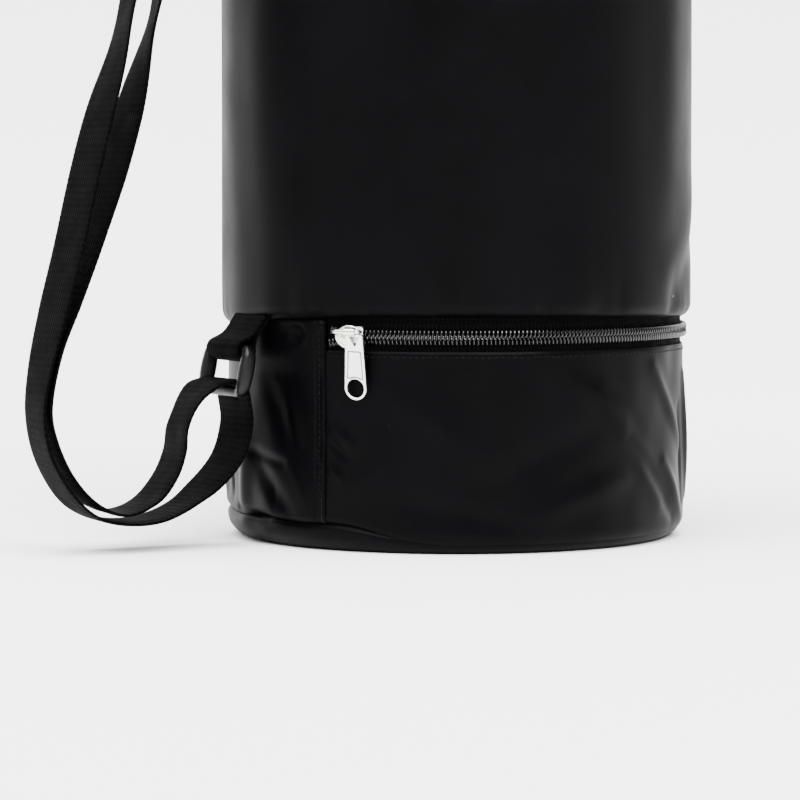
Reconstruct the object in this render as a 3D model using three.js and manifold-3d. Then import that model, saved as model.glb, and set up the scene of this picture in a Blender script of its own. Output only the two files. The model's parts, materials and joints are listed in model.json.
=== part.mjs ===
// Rope storage bag: a padded cylindrical bag with a zipped pocket below it,
// a zip-around lid on top and one doubled shoulder strap down its side.
//
// Millimetres, +Z up, front towards -Y. The origin is the centre of the base.
// A heading is an angle round the bag in degrees, 0 at the front and positive
// towards +X. Pieces that face one way are built at heading 0, where +X is to
// the right and -Y points outwards, and are then turned to their heading.

import * as THREE from 'three';
import { mergeVertices } from 'three/addons/utils/BufferGeometryUtils.js';
import Module from 'manifold-3d';

const wasm = await Module();
wasm.setup();

// ---------- driving dimensions ----------

const DEGREE = Math.PI / 180;
const GAP = 0.3; // left between pieces that touch

const BODY_RADIUS = 90; // padded upper body, outside
const POCKET_RADIUS = 87.4; // zipped pocket, outside
const SEAM_HEIGHT = 86; // groove between the pocket and the upper body
const LID_TOP = 400;

const FABRIC = 1; // outer fabric with its turnings
const FOAM = 4.6;
const LINING = 0.8;
const BASE_CORNER = 6.5; // radius of the rounded base edge
const BOARD = 2.4; // base stiffener
const DIVIDER = 4.6; // padded floor of the rope compartment

const POCKET_CHAIN_HEIGHT = 79;
const POCKET_ZIP_START = -34; // heading of the vertical seam beside the slider
const POCKET_ZIP_END = 146;
const LID_CHAIN_HEIGHT = 382;
const LID_ZIP_REACH = 150; // the lid's zip runs this far each way from the front

const TAPE = { thickness: 0.6, width: 4.1, fromCentre: 1.5 };
const COIL = { thickness: 2.2, height: 2.65, fromTape: GAP };
const STOP_WIDTH = 1.6;

const SLIDER = { length: 11.3, height: 8.6, plate: 1.3 };
const POST = { size: 2.2, x: -3.4 };
const FLANGE = { length: 6.6, depth: 2.2, height: 0.9, x: 1.8, overlap: 0.4 };
const BRIDGE = { rod: 0.7, rise: 2.6, halfSpan: 4.9, up: 2, leg: 1 };
const PULL = {
  length: 25.2,
  topWidth: 6.9,
  endWidth: 8.7,
  thickness: 1.3,
  offset: 2.1, // from the slider's middle
  hole: 3.4,
  neckWidth: 4.2,
  neckLow: -1.2, // below the bridge
  shoulderLow: -2.4,
};
const KNUCKLE = { radius: 1.7, wall: 0.65, width: 4.4 };
const PULL_STANDOFF = 0.5; // between the pull's end and the wall it hangs against

const STRAP_HEADING = -60;
const STRAP = { width: 25, thickness: 1.6 };
const RING = {
  width: 34,
  height: 19.5,
  bar: 4,
  rail: 3.6,
  thickness: 3.6,
  radius: 99, // from the bag's axis to the ring's middle
  middle: 65.5, // height of the lower ring's middle
  lean: 12, // degrees, with the top towards the bag
  bevel: 0.7,
  outerCorner: 2.6,
  innerCorner: 1.6,
};
const UPPER_RING_RISE = 290; // from the lower ring to the upper one
const ANCHOR = { width: 24, layer: 1.5 };
const LOOP_CLEARANCE = 2.9; // inside radius of webbing round a ring's bar

// The strap's middle line in its own upright plane, as [radius, height].
// It drops from the upper ring, turns up under the lower ring, passes over
// that ring's lower bar and comes back beside itself.
const STRAP_ROUTE = [
  [101.6, 344], [110.6, 310], [120.9, 270], [131.2, 231], [138.6, 202], [143.4, 182], [150.2, 161],
  [156.6, 138], [163.2, 111], [169.4, 88.5], [174.8, 67], [176.7, 51], [173.7, 36], [165.5, 22],
  [156, 14], [143, 10.8], [128.5, 12], [113.5, 19], [100, 31.5], [95.2, 44.5], [95.9, 54], [97.4, 59.8],
  [100.6, 61.8], [104.6, 61.4], [109.5, 59.6], [115, 54], [119.5, 45], [120.8, 36], [125, 26.5],
  [133, 18], [145, 14.4], [157, 19.4], [166, 29.5], [172, 43], [174, 55], [170.8, 74], [164.2, 91],
  [158.2, 106], [152, 122], [146, 138], [139, 160],
];
const END_STRAND_ROUTE = [
  [138.8, 160.7], [132.5, 183], [127, 202], [121.6, 230], [117.6, 253], [116.4, 267],
];
const SEWN_BACK = [[100.9, 343.8], [108.1, 316.8]]; // the strap's end, sewn back on itself
const LOWER_SEAM_POINT = [89.4, 84];
const UPPER_SEAM_POINT = [92.1, 372];
const STRAP_SLOPE = Math.atan2(10.3, 40); // how far the straight upper stretch leans out
const GLIDE = {
  centre: [120.9, 270],
  height: 22,
  rail: 3,
  railInset: 0.5, // between the strap's edge and a rail
  railBack: 1.3, // how far a rail reaches behind the round bar
  bar: 1, // radius of the round bar
  barDepth: 4.1, // from the strap in to the round bar
  outer: 3.2,
  endBar: 3,
};
const GLIDE_LOOP_CLEARANCE = 1.3;

const RING_STEPS = 60;
const ARC_STEP = 6; // degrees for each facet of a part ring
const CORNER_STEP = 30; // degrees for each facet of a rounded corner's profile

// ---------- materials ----------

function finish(colour, roughness, metalness = 0) {
  return new THREE.MeshStandardMaterial({ color: colour, roughness, metalness });
}

const shellFabric = () => finish(0x17171b, 0.75);
const liningFabric = () => finish(0x2b2c30, 0.7);
const paddingFoam = () => finish(0x3a3a3c, 0.95);
const webbing = () => finish(0x1b1b1d, 0.8);
const zipTape = () => finish(0x151518, 0.85);
const zipCoil = () => finish(0x101012, 0.4);
const nickel = () => finish(0xe6e4e0, 0.22, 1);
const blackPlastic = () => finish(0x0f0f11, 0.35);
const stiffBoard = () => finish(0x222224, 0.6);

// ---------- shape helpers ----------

function toSolid(geometry) {
  const bare = geometry.clone();
  bare.deleteAttribute('normal');
  bare.deleteAttribute('uv');
  const merged = mergeVertices(bare, 1e-5);
  const vertProperties = new Float32Array(merged.attributes.position.array);
  const triVerts = new Uint32Array(merged.index.array);
  return new wasm.Manifold(new wasm.Mesh({ numProp: 3, vertProperties, triVerts }));
}

function toGeometry(solid) {
  const mesh = solid.getMesh();
  const geometry = new THREE.BufferGeometry();
  geometry.setAttribute('position', new THREE.BufferAttribute(mesh.vertProperties, 3));
  geometry.setIndex(new THREE.BufferAttribute(mesh.triVerts, 1));
  return geometry;
}

function join(...geometries) {
  return toGeometry(geometries.map(toSolid).reduce((sum, next) => sum.add(next)));
}

// Turns a profile of [radius, height] pairs, listed anticlockwise, about +Z.
function revolve(profile) {
  const points = profile.map(([radius, height]) => new THREE.Vector2(radius, height));
  return new THREE.LatheGeometry(points, RING_STEPS).rotateX(Math.PI / 2);
}

function tube(inner, outer, low, high) {
  return revolve([[inner, low], [outer, low], [outer, high], [inner, high], [inner, low]]);
}

function disc(radius, low, high) {
  return revolve([[0, low], [radius, low], [radius, high], [0, high]]);
}

// Part of a tube between two headings.
function arcWall(inner, outer, low, high, fromHeading, toHeading) {
  const from = (fromHeading - 90) * DEGREE;
  const to = (toHeading - 90) * DEGREE;
  const shape = new THREE.Shape();
  shape.absarc(0, 0, outer, from, to, false);
  shape.absarc(0, 0, inner, to, from, true);
  shape.closePath();
  const curveSegments = Math.ceil((toHeading - fromHeading) / ARC_STEP / 2);
  return new THREE.ExtrudeGeometry(shape, { depth: high - low, bevelEnabled: false, curveSegments })
    .translate(0, 0, low);
}

// An outline of [radius, height] seen from the side, made `width` wide along X.
function fromSide(shape, width, curveSegments = 8) {
  const outward = new THREE.Vector3(0, -1, 0);
  const up = new THREE.Vector3(0, 0, 1);
  const across = new THREE.Vector3(-1, 0, 0);
  return new THREE.ExtrudeGeometry(shape, { depth: width, bevelEnabled: false, curveSegments })
    .applyMatrix4(new THREE.Matrix4().makeBasis(outward, up, across))
    .translate(width / 2, 0, 0);
}

// An outline of [x, height] seen from the front, from one radius out to another.
function fromFront(shape, inner, outer, curveSegments = 6) {
  return new THREE.ExtrudeGeometry(shape, { depth: outer - inner, bevelEnabled: false, curveSegments })
    .rotateX(Math.PI / 2)
    .translate(0, -inner, 0);
}

function block(width, depth, height, x, radius, z) {
  return new THREE.BoxGeometry(width, depth, height).translate(x, -radius, z);
}

function circle(path, x, y, radius) {
  path.absarc(x, y, radius, 0, 2 * Math.PI, false);
  return path;
}

function roundedRectangle(width, height, corner) {
  const x = width / 2 - corner;
  const y = height / 2 - corner;
  const shape = new THREE.Shape();
  shape.absarc(x, y, corner, 0, Math.PI / 2, false);
  shape.absarc(-x, y, corner, Math.PI / 2, Math.PI, false);
  shape.absarc(-x, -y, corner, Math.PI, 1.5 * Math.PI, false);
  shape.absarc(x, -y, corner, 1.5 * Math.PI, 2 * Math.PI, false);
  shape.closePath();
  return shape;
}

// The edge outline of a flat strap that follows a smooth route.
function bandShape(route, thickness, steps) {
  const curve = new THREE.SplineCurve(route.map(([radius, height]) => new THREE.Vector2(radius, height)));
  const outer = [];
  const inner = [];
  for (let i = 0; i <= steps; i += 1) {
    const point = curve.getPointAt(i / steps);
    const tangent = curve.getTangentAt(i / steps);
    const offset = new THREE.Vector2(tangent.y, -tangent.x).multiplyScalar(thickness / 2);
    outer.push(point.clone().add(offset));
    inner.unshift(point.clone().sub(offset));
  }
  return new THREE.Shape([...outer, ...inner]);
}

// Webbing wrapped once round a bar, seen from its edge.
function loopShape([radius, height], layer, clearance = LOOP_CLEARANCE) {
  const shape = circle(new THREE.Shape(), radius, height, clearance + layer);
  shape.holes.push(circle(new THREE.Path(), radius, height, clearance));
  return shape;
}

// ---------- assembly ----------

const bag = new THREE.Group();

function add(name, geometry, material, heading = 0) {
  const mesh = new THREE.Mesh(geometry, material);
  mesh.name = name;
  mesh.rotation.z = heading * DEGREE;
  bag.add(mesh);
}

// ---------- upper body ----------

const CORNER = 5; // rounded lower corner of the padded body
const RIM_HEIGHT = LID_CHAIN_HEIGHT - 7.7; // where the padded wall ends
const FOAM_OUTER = BODY_RADIUS - FABRIC - GAP;
const LINING_OUTER = FOAM_OUTER - FOAM - GAP;
const COMPARTMENT_RADIUS = LINING_OUTER - LINING;
const DIVIDER_LOW = SEAM_HEIGHT + 1;
const DIVIDER_HIGH = DIVIDER_LOW + DIVIDER;
const TIE_IN = { radius: 70, width: 18, halfSpan: 10 };

function mainShell() {
  const low = SEAM_HEIGHT + GAP;
  const outerCorner = [];
  const innerCorner = [];
  for (let angle = -90; angle <= 0; angle += CORNER_STEP) {
    const x = Math.cos(angle * DEGREE);
    const y = Math.sin(angle * DEGREE);
    outerCorner.push([BODY_RADIUS - CORNER + CORNER * x, low + CORNER + CORNER * y]);
    innerCorner.unshift([
      BODY_RADIUS - CORNER + (CORNER - FABRIC) * x,
      low + CORNER + (CORNER - FABRIC) * y,
    ]);
  }
  const top = [[BODY_RADIUS, RIM_HEIGHT], [BODY_RADIUS - FABRIC, RIM_HEIGHT]];
  return revolve([...outerCorner, ...top, ...innerCorner, outerCorner[0]]);
}

function tieInLoop() {
  const foot = DIVIDER_HIGH + GAP;
  const halfSpan = TIE_IN.halfSpan;
  const outline = new THREE.Shape();
  outline.absarc(0, foot + halfSpan, halfSpan, 0, Math.PI, false);
  outline.lineTo(-halfSpan, foot);
  outline.lineTo(-halfSpan + STRAP.thickness, foot);
  outline.absarc(0, foot + halfSpan, halfSpan - STRAP.thickness, Math.PI, 0, true);
  outline.lineTo(halfSpan - STRAP.thickness, foot);
  outline.lineTo(halfSpan, foot);
  outline.closePath();
  return fromFront(outline, TIE_IN.radius - TIE_IN.width / 2, TIE_IN.radius + TIE_IN.width / 2);
}

add('main_shell', mainShell(), shellFabric());
add('main_foam', tube(LINING_OUTER + GAP, FOAM_OUTER, DIVIDER_HIGH + GAP, RIM_HEIGHT), paddingFoam());
add('main_lining', tube(COMPARTMENT_RADIUS, LINING_OUTER, DIVIDER_HIGH + GAP, RIM_HEIGHT), liningFabric());
add('divider_floor', disc(LINING_OUTER, DIVIDER_LOW, DIVIDER_HIGH), liningFabric());
add('rope_tie_in_loop', tieInLoop(), webbing(), 180);
add(
  'rim_binding',
  tube(COMPARTMENT_RADIUS, BODY_RADIUS, RIM_HEIGHT + GAP, RIM_HEIGHT + 2),
  zipTape(),
);

// ---------- pocket ----------

const PANEL_INNER = POCKET_RADIUS - FABRIC;
const PANEL_LOW = BASE_CORNER + GAP;
const POCKET_TOP = SEAM_HEIGHT - 1.4;
const FLAP_FOLD = POCKET_CHAIN_HEIGHT - 5.2; // folded edge under the chain
const PLACKET = 5; // width of the folded strip along each vertical seam, in degrees

function basePanel() {
  const outer = [];
  const inner = [];
  const centre = POCKET_RADIUS - BASE_CORNER;
  for (let angle = -90; angle <= 0; angle += CORNER_STEP) {
    const x = Math.cos(angle * DEGREE);
    const y = Math.sin(angle * DEGREE);
    outer.push([centre + BASE_CORNER * x, BASE_CORNER + BASE_CORNER * y]);
    inner.unshift([centre + (BASE_CORNER - FABRIC) * x, BASE_CORNER + (BASE_CORNER - FABRIC) * y]);
  }
  return revolve([[0, 0], ...outer, ...inner, [0, FABRIC]]);
}

function seamWelt() {
  return tube(PANEL_INNER - 2, PANEL_INNER + 0.4, POCKET_TOP + GAP, SEAM_HEIGHT);
}

add('base_panel', basePanel(), shellFabric());
add('base_board', disc(POCKET_RADIUS - BASE_CORNER, FABRIC + GAP, FABRIC + GAP + BOARD), stiffBoard());
add(
  'pocket_front_panel',
  arcWall(PANEL_INNER, POCKET_RADIUS, PANEL_LOW, FLAP_FOLD, POCKET_ZIP_START + 0.3, POCKET_ZIP_END - 0.3),
  shellFabric(),
);
add(
  'pocket_back_panel',
  arcWall(
    PANEL_INNER,
    POCKET_RADIUS,
    PANEL_LOW,
    POCKET_TOP,
    POCKET_ZIP_END + PLACKET,
    360 + POCKET_ZIP_START - PLACKET,
  ),
  shellFabric(),
);
for (const [name, from] of [
  ['placket_left', POCKET_ZIP_START - PLACKET + 0.3],
  ['placket_right', POCKET_ZIP_END],
]) {
  add(
    name,
    arcWall(PANEL_INNER, POCKET_RADIUS + 0.4, PANEL_LOW, POCKET_TOP, from, from + PLACKET - 0.3),
    shellFabric(),
  );
}
add('seam_welt', seamWelt(), shellFabric());

// ---------- zips ----------

function zipTapes(name, tapeRadius, chainHeight, from, to) {
  const outer = tapeRadius + TAPE.thickness;
  const near = TAPE.fromCentre;
  const far = near + TAPE.width;
  const upper = arcWall(tapeRadius, outer, chainHeight + near, chainHeight + far, from, to);
  const lower = arcWall(tapeRadius, outer, chainHeight - far, chainHeight - near, from, to);
  add(`${name}_tape_upper`, upper, zipTape());
  add(`${name}_tape_lower`, lower, zipTape());
}

function zipCoils(name, tapeRadius, chainHeight, from, to) {
  const inner = tapeRadius + TAPE.thickness + COIL.fromTape;
  const outer = inner + COIL.thickness;
  const near = GAP / 2;
  const far = near + COIL.height;
  const upper = arcWall(inner, outer, chainHeight + near, chainHeight + far, from, to);
  const lower = arcWall(inner, outer, chainHeight - far, chainHeight - near, from, to);
  add(`${name}_coil_upper`, upper, zipCoil());
  add(`${name}_coil_lower`, lower, zipCoil());
}

// A metal crimp across the end of the chain, which stops the slider.
function zipStop(name, tapeRadius, chainHeight, heading) {
  const inner = tapeRadius + TAPE.thickness + COIL.fromTape;
  const middle = inner + COIL.thickness / 2;
  const stop = block(STOP_WIDTH, COIL.thickness, 2 * COIL.height, 0, middle, chainHeight);
  add(name, stop, nickel(), heading);
}

// The radius of the slider's outer face.
function sliderFront(tapeRadius) {
  return tapeRadius + TAPE.thickness + COIL.fromTape + COIL.thickness + GAP + SLIDER.plate;
}

// The slider has a front and a back plate round the chain, joined by a post at
// its leading end, and a bridge that carries the pull.
function sliderBody(tapeRadius, chainHeight) {
  const halfLength = SLIDER.length / 2;
  const halfHeight = SLIDER.height / 2;
  const cornerDrop = 0.6; // the plates narrow a little towards the closed chain
  const outline = new THREE.Shape();
  outline.moveTo(halfLength, -halfHeight + cornerDrop);
  outline.lineTo(halfLength, halfHeight - cornerDrop);
  outline.lineTo(0, halfHeight);
  outline.quadraticCurveTo(-halfLength, halfHeight, -halfLength, 0);
  outline.quadraticCurveTo(-halfLength, -halfHeight, 0, -halfHeight);
  outline.closePath();

  const frontOuter = sliderFront(tapeRadius);
  const frontInner = frontOuter - SLIDER.plate;
  const backOuter = tapeRadius - GAP;
  const backInner = backOuter - SLIDER.plate;
  const front = fromFront(outline, frontInner, frontOuter).translate(0, 0, chainHeight);
  const back = fromFront(outline, backInner, backOuter).translate(0, 0, chainHeight);

  const middle = (backInner + frontOuter) / 2;
  const postDepth = frontOuter - backInner - SLIDER.plate;
  const post = block(POST.size, postDepth, POST.size, POST.x, middle, chainHeight);

  const flangeRise = halfHeight - FLANGE.height / 2 - FLANGE.overlap;
  const flangeRadius = frontInner - FLANGE.depth / 2 + FLANGE.overlap;
  const flanges = [-1, 1].map((side) => (
    block(
      FLANGE.length,
      FLANGE.depth,
      FLANGE.height,
      FLANGE.x,
      flangeRadius,
      chainHeight + side * flangeRise,
    )
  ));

  const rodRadius = frontOuter + BRIDGE.rise;
  const bridgeHeight = chainHeight + BRIDGE.up;
  const rodLength = 2 * BRIDGE.halfSpan + BRIDGE.leg;
  const rod = new THREE.CylinderGeometry(BRIDGE.rod, BRIDGE.rod, rodLength, 10)
    .rotateZ(Math.PI / 2)
    .translate(0, -rodRadius, bridgeHeight);
  const legDepth = BRIDGE.rise + FLANGE.overlap;
  const legRadius = rodRadius - legDepth / 2;
  const legs = [-1, 1].map((side) => (
    block(BRIDGE.leg, legDepth, 2 * BRIDGE.rod, side * BRIDGE.halfSpan, legRadius, bridgeHeight)
  ));
  return join(front, back, post, ...flanges, rod, ...legs);
}

function pullOutline() {
  const top = PULL.topWidth / 2;
  const end = PULL.endWidth / 2;
  const endCentre = -PULL.length + end;
  const neck = PULL.neckWidth / 2;
  const outline = new THREE.Shape();
  outline.moveTo(neck, PULL.neckLow);
  outline.lineTo(-neck, PULL.neckLow);
  outline.lineTo(-top, PULL.shoulderLow);
  outline.lineTo(-end, endCentre);
  outline.absarc(0, endCentre, end, Math.PI, 2 * Math.PI, false);
  outline.lineTo(top, PULL.shoulderLow);
  outline.closePath();
  outline.holes.push(circle(new THREE.Path(), 0, endCentre, PULL.hole));
  const corners = [[-2, -2.5], [2, -2.5], [0.6, -5.6], [-0.6, -5.6]];
  outline.holes.push(new THREE.Path(corners.map(([x, z]) => new THREE.Vector2(x, z))));
  return outline;
}

// The pull hangs from the bridge by a rolled knuckle and leans on the wall below.
function zipPull(tapeRadius, chainHeight, wallRadius) {
  const rodRadius = sliderFront(tapeRadius) + BRIDGE.rise;
  const reach = rodRadius - PULL.thickness / 2 - wallRadius - PULL_STANDOFF;
  const lean = Math.asin(reach / PULL.length);
  const knuckle = circle(new THREE.Shape(), 0, 0, KNUCKLE.radius);
  knuckle.holes.push(circle(new THREE.Path(), 0, 0, KNUCKLE.radius - KNUCKLE.wall));
  const roll = fromSide(knuckle, KNUCKLE.width, 7);
  const plate = fromFront(pullOutline(), -PULL.thickness / 2, PULL.thickness / 2);
  return join(roll, plate)
    .rotateX(lean)
    .translate(PULL.offset, -rodRadius, chainHeight + BRIDGE.up);
}

const POCKET_TAPE_RADIUS = PANEL_INNER - GAP - TAPE.thickness;
const LID_TAPE_RADIUS = POCKET_TAPE_RADIUS + 1;
const SLIDER_INSET = 7.5; // degrees from the start of a zip to the middle of its slider
const POST_INSET = SLIDER_INSET - 0.9;

zipTapes('pocket_zip', POCKET_TAPE_RADIUS, POCKET_CHAIN_HEIGHT, POCKET_ZIP_START + 0.4, POCKET_ZIP_END - 0.4);
zipCoils(
  'pocket_zip',
  POCKET_TAPE_RADIUS,
  POCKET_CHAIN_HEIGHT,
  POCKET_ZIP_START + POST_INSET,
  POCKET_ZIP_END - 2,
);
zipStop('pocket_zip_stop', POCKET_TAPE_RADIUS, POCKET_CHAIN_HEIGHT, POCKET_ZIP_END - 1);
add(
  'pocket_zip_slider',
  sliderBody(POCKET_TAPE_RADIUS, POCKET_CHAIN_HEIGHT),
  nickel(),
  POCKET_ZIP_START + SLIDER_INSET,
);
add(
  'pocket_zip_pull',
  zipPull(POCKET_TAPE_RADIUS, POCKET_CHAIN_HEIGHT, POCKET_RADIUS),
  nickel(),
  POCKET_ZIP_START + SLIDER_INSET,
);

zipTapes('lid_zip', LID_TAPE_RADIUS, LID_CHAIN_HEIGHT, -LID_ZIP_REACH, LID_ZIP_REACH);
zipCoils('lid_zip', LID_TAPE_RADIUS, LID_CHAIN_HEIGHT, -LID_ZIP_REACH + POST_INSET, LID_ZIP_REACH - 2);
zipStop('lid_zip_stop', LID_TAPE_RADIUS, LID_CHAIN_HEIGHT, LID_ZIP_REACH - 1);
add(
  'lid_zip_slider',
  sliderBody(LID_TAPE_RADIUS, LID_CHAIN_HEIGHT),
  nickel(),
  -LID_ZIP_REACH + SLIDER_INSET,
);
add(
  'lid_zip_pull',
  zipPull(LID_TAPE_RADIUS, LID_CHAIN_HEIGHT, BODY_RADIUS),
  nickel(),
  -LID_ZIP_REACH + SLIDER_INSET,
);

// ---------- lid ----------

const LID_LOW = LID_CHAIN_HEIGHT + TAPE.fromCentre + TAPE.width + GAP;
const LID_RADIUS = 88.6;
const PIPING = 1.6;
const LID_PANEL_LOW = LID_TOP - PIPING - 1;

function lidTopPanel() {
  const crown = 1.4;
  const edge = LID_RADIUS - 2 * PIPING;
  return revolve([
    [0, LID_PANEL_LOW], [edge, LID_PANEL_LOW], [edge, LID_PANEL_LOW + FABRIC],
    [edge * 0.8, LID_PANEL_LOW + FABRIC + crown * 0.6], [edge * 0.5, LID_PANEL_LOW + FABRIC + crown],
    [0, LID_PANEL_LOW + FABRIC + crown],
  ]);
}

function lidPiping() {
  const profile = [];
  for (let step = 0; step <= 6; step += 1) {
    const angle = step * 60 * DEGREE;
    profile.push([
      LID_RADIUS - 1.2 + PIPING * Math.cos(angle),
      LID_PANEL_LOW + PIPING * Math.sin(angle),
    ]);
  }
  return revolve(profile);
}

add('lid_lining', disc(LID_RADIUS - FABRIC - GAP, LID_LOW, LID_LOW + LINING), liningFabric());
add(
  'lid_foam',
  disc(LID_RADIUS - FABRIC - 2 * PIPING, LID_LOW + LINING + GAP, LID_PANEL_LOW - GAP),
  paddingFoam(),
);
add(
  'lid_side_band',
  tube(LID_RADIUS - FABRIC, LID_RADIUS, LID_LOW, LID_PANEL_LOW - PIPING - GAP),
  shellFabric(),
);
add('lid_piping', lidPiping(), shellFabric());
add('lid_top_panel', lidTopPanel(), shellFabric());
add(
  'lid_hinge_tape',
  arcWall(
    LID_TAPE_RADIUS,
    LID_TAPE_RADIUS + TAPE.thickness,
    RIM_HEIGHT + 2 + GAP,
    LID_LOW - GAP,
    LID_ZIP_REACH + 0.4,
    360 - LID_ZIP_REACH - 0.4,
  ),
  zipTape(),
);

// ---------- strap ----------

function ringBar(side, rise) {
  const fromCentre = side * (RING.height - RING.bar) / 2;
  return [
    RING.radius - fromCentre * Math.sin(RING.lean * DEGREE),
    RING.middle + rise + fromCentre * Math.cos(RING.lean * DEGREE),
  ];
}

function rectangularRing(rise) {
  const { bevel } = RING;
  const outline = roundedRectangle(
    RING.width - 2 * bevel,
    RING.height - 2 * bevel,
    RING.outerCorner,
  );
  outline.holes.push(roundedRectangle(
    RING.width - 2 * RING.rail + 2 * bevel,
    RING.height - 2 * RING.bar + 2 * bevel,
    RING.innerCorner,
  ));
  return new THREE.ExtrudeGeometry(outline, {
    depth: RING.thickness - 2 * bevel,
    bevelSize: bevel,
    bevelThickness: bevel,
    bevelSegments: 1,
    curveSegments: 2,
  })
    .translate(0, 0, -RING.thickness / 2 + bevel)
    .rotateX(Math.PI / 2 - RING.lean * DEGREE)
    .translate(0, -RING.radius, RING.middle + rise);
}

// Doubled webbing from the seam to a loop round the ring's upper bar.
function anchorWebbing(rise, seamPoint) {
  const bar = new THREE.Vector2(...ringBar(1, rise));
  const seam = new THREE.Vector2(...seamPoint);
  const start = bar.clone().lerp(seam, (LOOP_CLEARANCE + ANCHOR.layer / 2) / bar.distanceTo(seam));
  const route = [start.toArray(), seam.toArray()];
  return join(
    fromSide(loopShape(bar.toArray(), ANCHOR.layer), ANCHOR.width, 10),
    fromSide(bandShape(route, 2 * ANCHOR.layer, 1), ANCHOR.width),
  );
}

// The strap is sewn back on itself round the upper ring's lower bar.
function shoulderStrap() {
  const bar = ringBar(-1, UPPER_RING_RISE);
  const sewnEnd = bandShape(SEWN_BACK, 2 * STRAP.thickness, 1);
  return join(
    fromSide(loopShape(bar, STRAP.thickness), STRAP.width, 10),
    fromSide(bandShape(STRAP_ROUTE, STRAP.thickness, 120), STRAP.width),
    fromSide(sewnEnd, STRAP.width),
  );
}

// A point on the tri-glide, measured outwards from the strap and up along it.
function glidePoint(outward, along) {
  const sine = Math.sin(STRAP_SLOPE);
  const cosine = Math.cos(STRAP_SLOPE);
  return [
    GLIDE.centre[0] + outward * cosine - along * sine,
    GLIDE.centre[1] + outward * sine + along * cosine,
  ];
}

function glideBlock(inner, outer, low, high) {
  const corners = [[inner, low], [outer, low], [outer, high], [inner, high]];
  return new THREE.Shape(corners.map((corner) => new THREE.Vector2(...glidePoint(...corner))));
}

// Two side rails, two end bars outside the strap and a round bar inside it.
function triGlide() {
  const railMiddle = STRAP.width / 2 + GLIDE.railInset + GLIDE.rail / 2;
  const span = 2 * railMiddle;
  const railBack = -GLIDE.barDepth - GLIDE.railBack;
  const railShape = glideBlock(railBack, GLIDE.outer, -GLIDE.height / 2, GLIDE.height / 2);
  const rails = [-1, 1].map((side) => (
    fromSide(railShape, GLIDE.rail).translate(side * railMiddle, 0, 0)
  ));
  const barInner = STRAP.thickness / 2 + GAP;
  const barOuter = GLIDE.outer - GAP;
  const half = GLIDE.endBar / 2;
  const endBars = [-1, 1].map((side) => {
    const middle = side * (GLIDE.height / 2 - half - GAP);
    return fromSide(glideBlock(barInner, barOuter, middle - half, middle + half), span);
  });
  const innerBar = circle(new THREE.Shape(), ...glidePoint(-GLIDE.barDepth, 0), GLIDE.bar);
  return join(...rails, ...endBars, fromSide(innerBar, span, 5));
}

function endStrand() {
  const loop = loopShape(glidePoint(-GLIDE.barDepth, 0), STRAP.thickness, GLIDE_LOOP_CLEARANCE);
  return join(
    fromSide(loop, STRAP.width, 8),
    fromSide(bandShape(END_STRAND_ROUTE, STRAP.thickness, 24), STRAP.width),
  );
}

add('lower_anchor_webbing', anchorWebbing(0, LOWER_SEAM_POINT), webbing(), STRAP_HEADING);
add(
  'upper_anchor_webbing',
  anchorWebbing(UPPER_RING_RISE, UPPER_SEAM_POINT),
  webbing(),
  STRAP_HEADING,
);
add('lower_ring', rectangularRing(0), blackPlastic(), STRAP_HEADING);
add('upper_ring', rectangularRing(UPPER_RING_RISE), blackPlastic(), STRAP_HEADING);
add('shoulder_strap', shoulderStrap(), webbing(), STRAP_HEADING);
add('strap_end', endStrand(), webbing(), STRAP_HEADING);
add('tri_glide', triGlide(), blackPlastic(), STRAP_HEADING);

export default bag;
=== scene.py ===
"""Rope storage bag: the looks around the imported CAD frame.

Metres, +Z up, front towards -Y. A heading is an angle round the bag in degrees,
0 at the front and positive towards +X.
"""

import json
import math

import bmesh
import bpy
import numpy as np
from mathutils import Matrix, Vector


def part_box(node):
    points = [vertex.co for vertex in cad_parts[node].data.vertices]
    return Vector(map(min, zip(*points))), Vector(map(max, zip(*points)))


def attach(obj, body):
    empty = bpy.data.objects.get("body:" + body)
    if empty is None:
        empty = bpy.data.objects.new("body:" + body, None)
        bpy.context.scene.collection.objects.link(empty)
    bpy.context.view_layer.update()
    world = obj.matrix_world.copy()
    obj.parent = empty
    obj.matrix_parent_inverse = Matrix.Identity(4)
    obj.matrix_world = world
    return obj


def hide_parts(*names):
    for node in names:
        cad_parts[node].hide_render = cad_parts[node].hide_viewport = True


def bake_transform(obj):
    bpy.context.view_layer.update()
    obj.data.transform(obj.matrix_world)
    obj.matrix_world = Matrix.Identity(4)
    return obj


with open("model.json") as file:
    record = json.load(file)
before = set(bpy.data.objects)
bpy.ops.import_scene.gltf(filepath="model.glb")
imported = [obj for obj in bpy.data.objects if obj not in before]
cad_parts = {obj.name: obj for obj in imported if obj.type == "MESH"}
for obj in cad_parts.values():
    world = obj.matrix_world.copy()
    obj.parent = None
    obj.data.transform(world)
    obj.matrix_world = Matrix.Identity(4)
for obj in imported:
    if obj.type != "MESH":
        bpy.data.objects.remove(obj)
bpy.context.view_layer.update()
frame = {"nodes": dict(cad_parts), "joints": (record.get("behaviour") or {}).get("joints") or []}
joints = {joint["name"]: joint for joint in frame["joints"]}

MM = 0.001


# ---------- sizes from the frame ----------

def half_width(node):
    low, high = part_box(node)
    return (high.x - low.x) / 2


def heading_of(node):
    low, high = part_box(node)
    middle = (low + high) / 2
    return math.degrees(math.atan2(middle.x, -middle.y))


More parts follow.
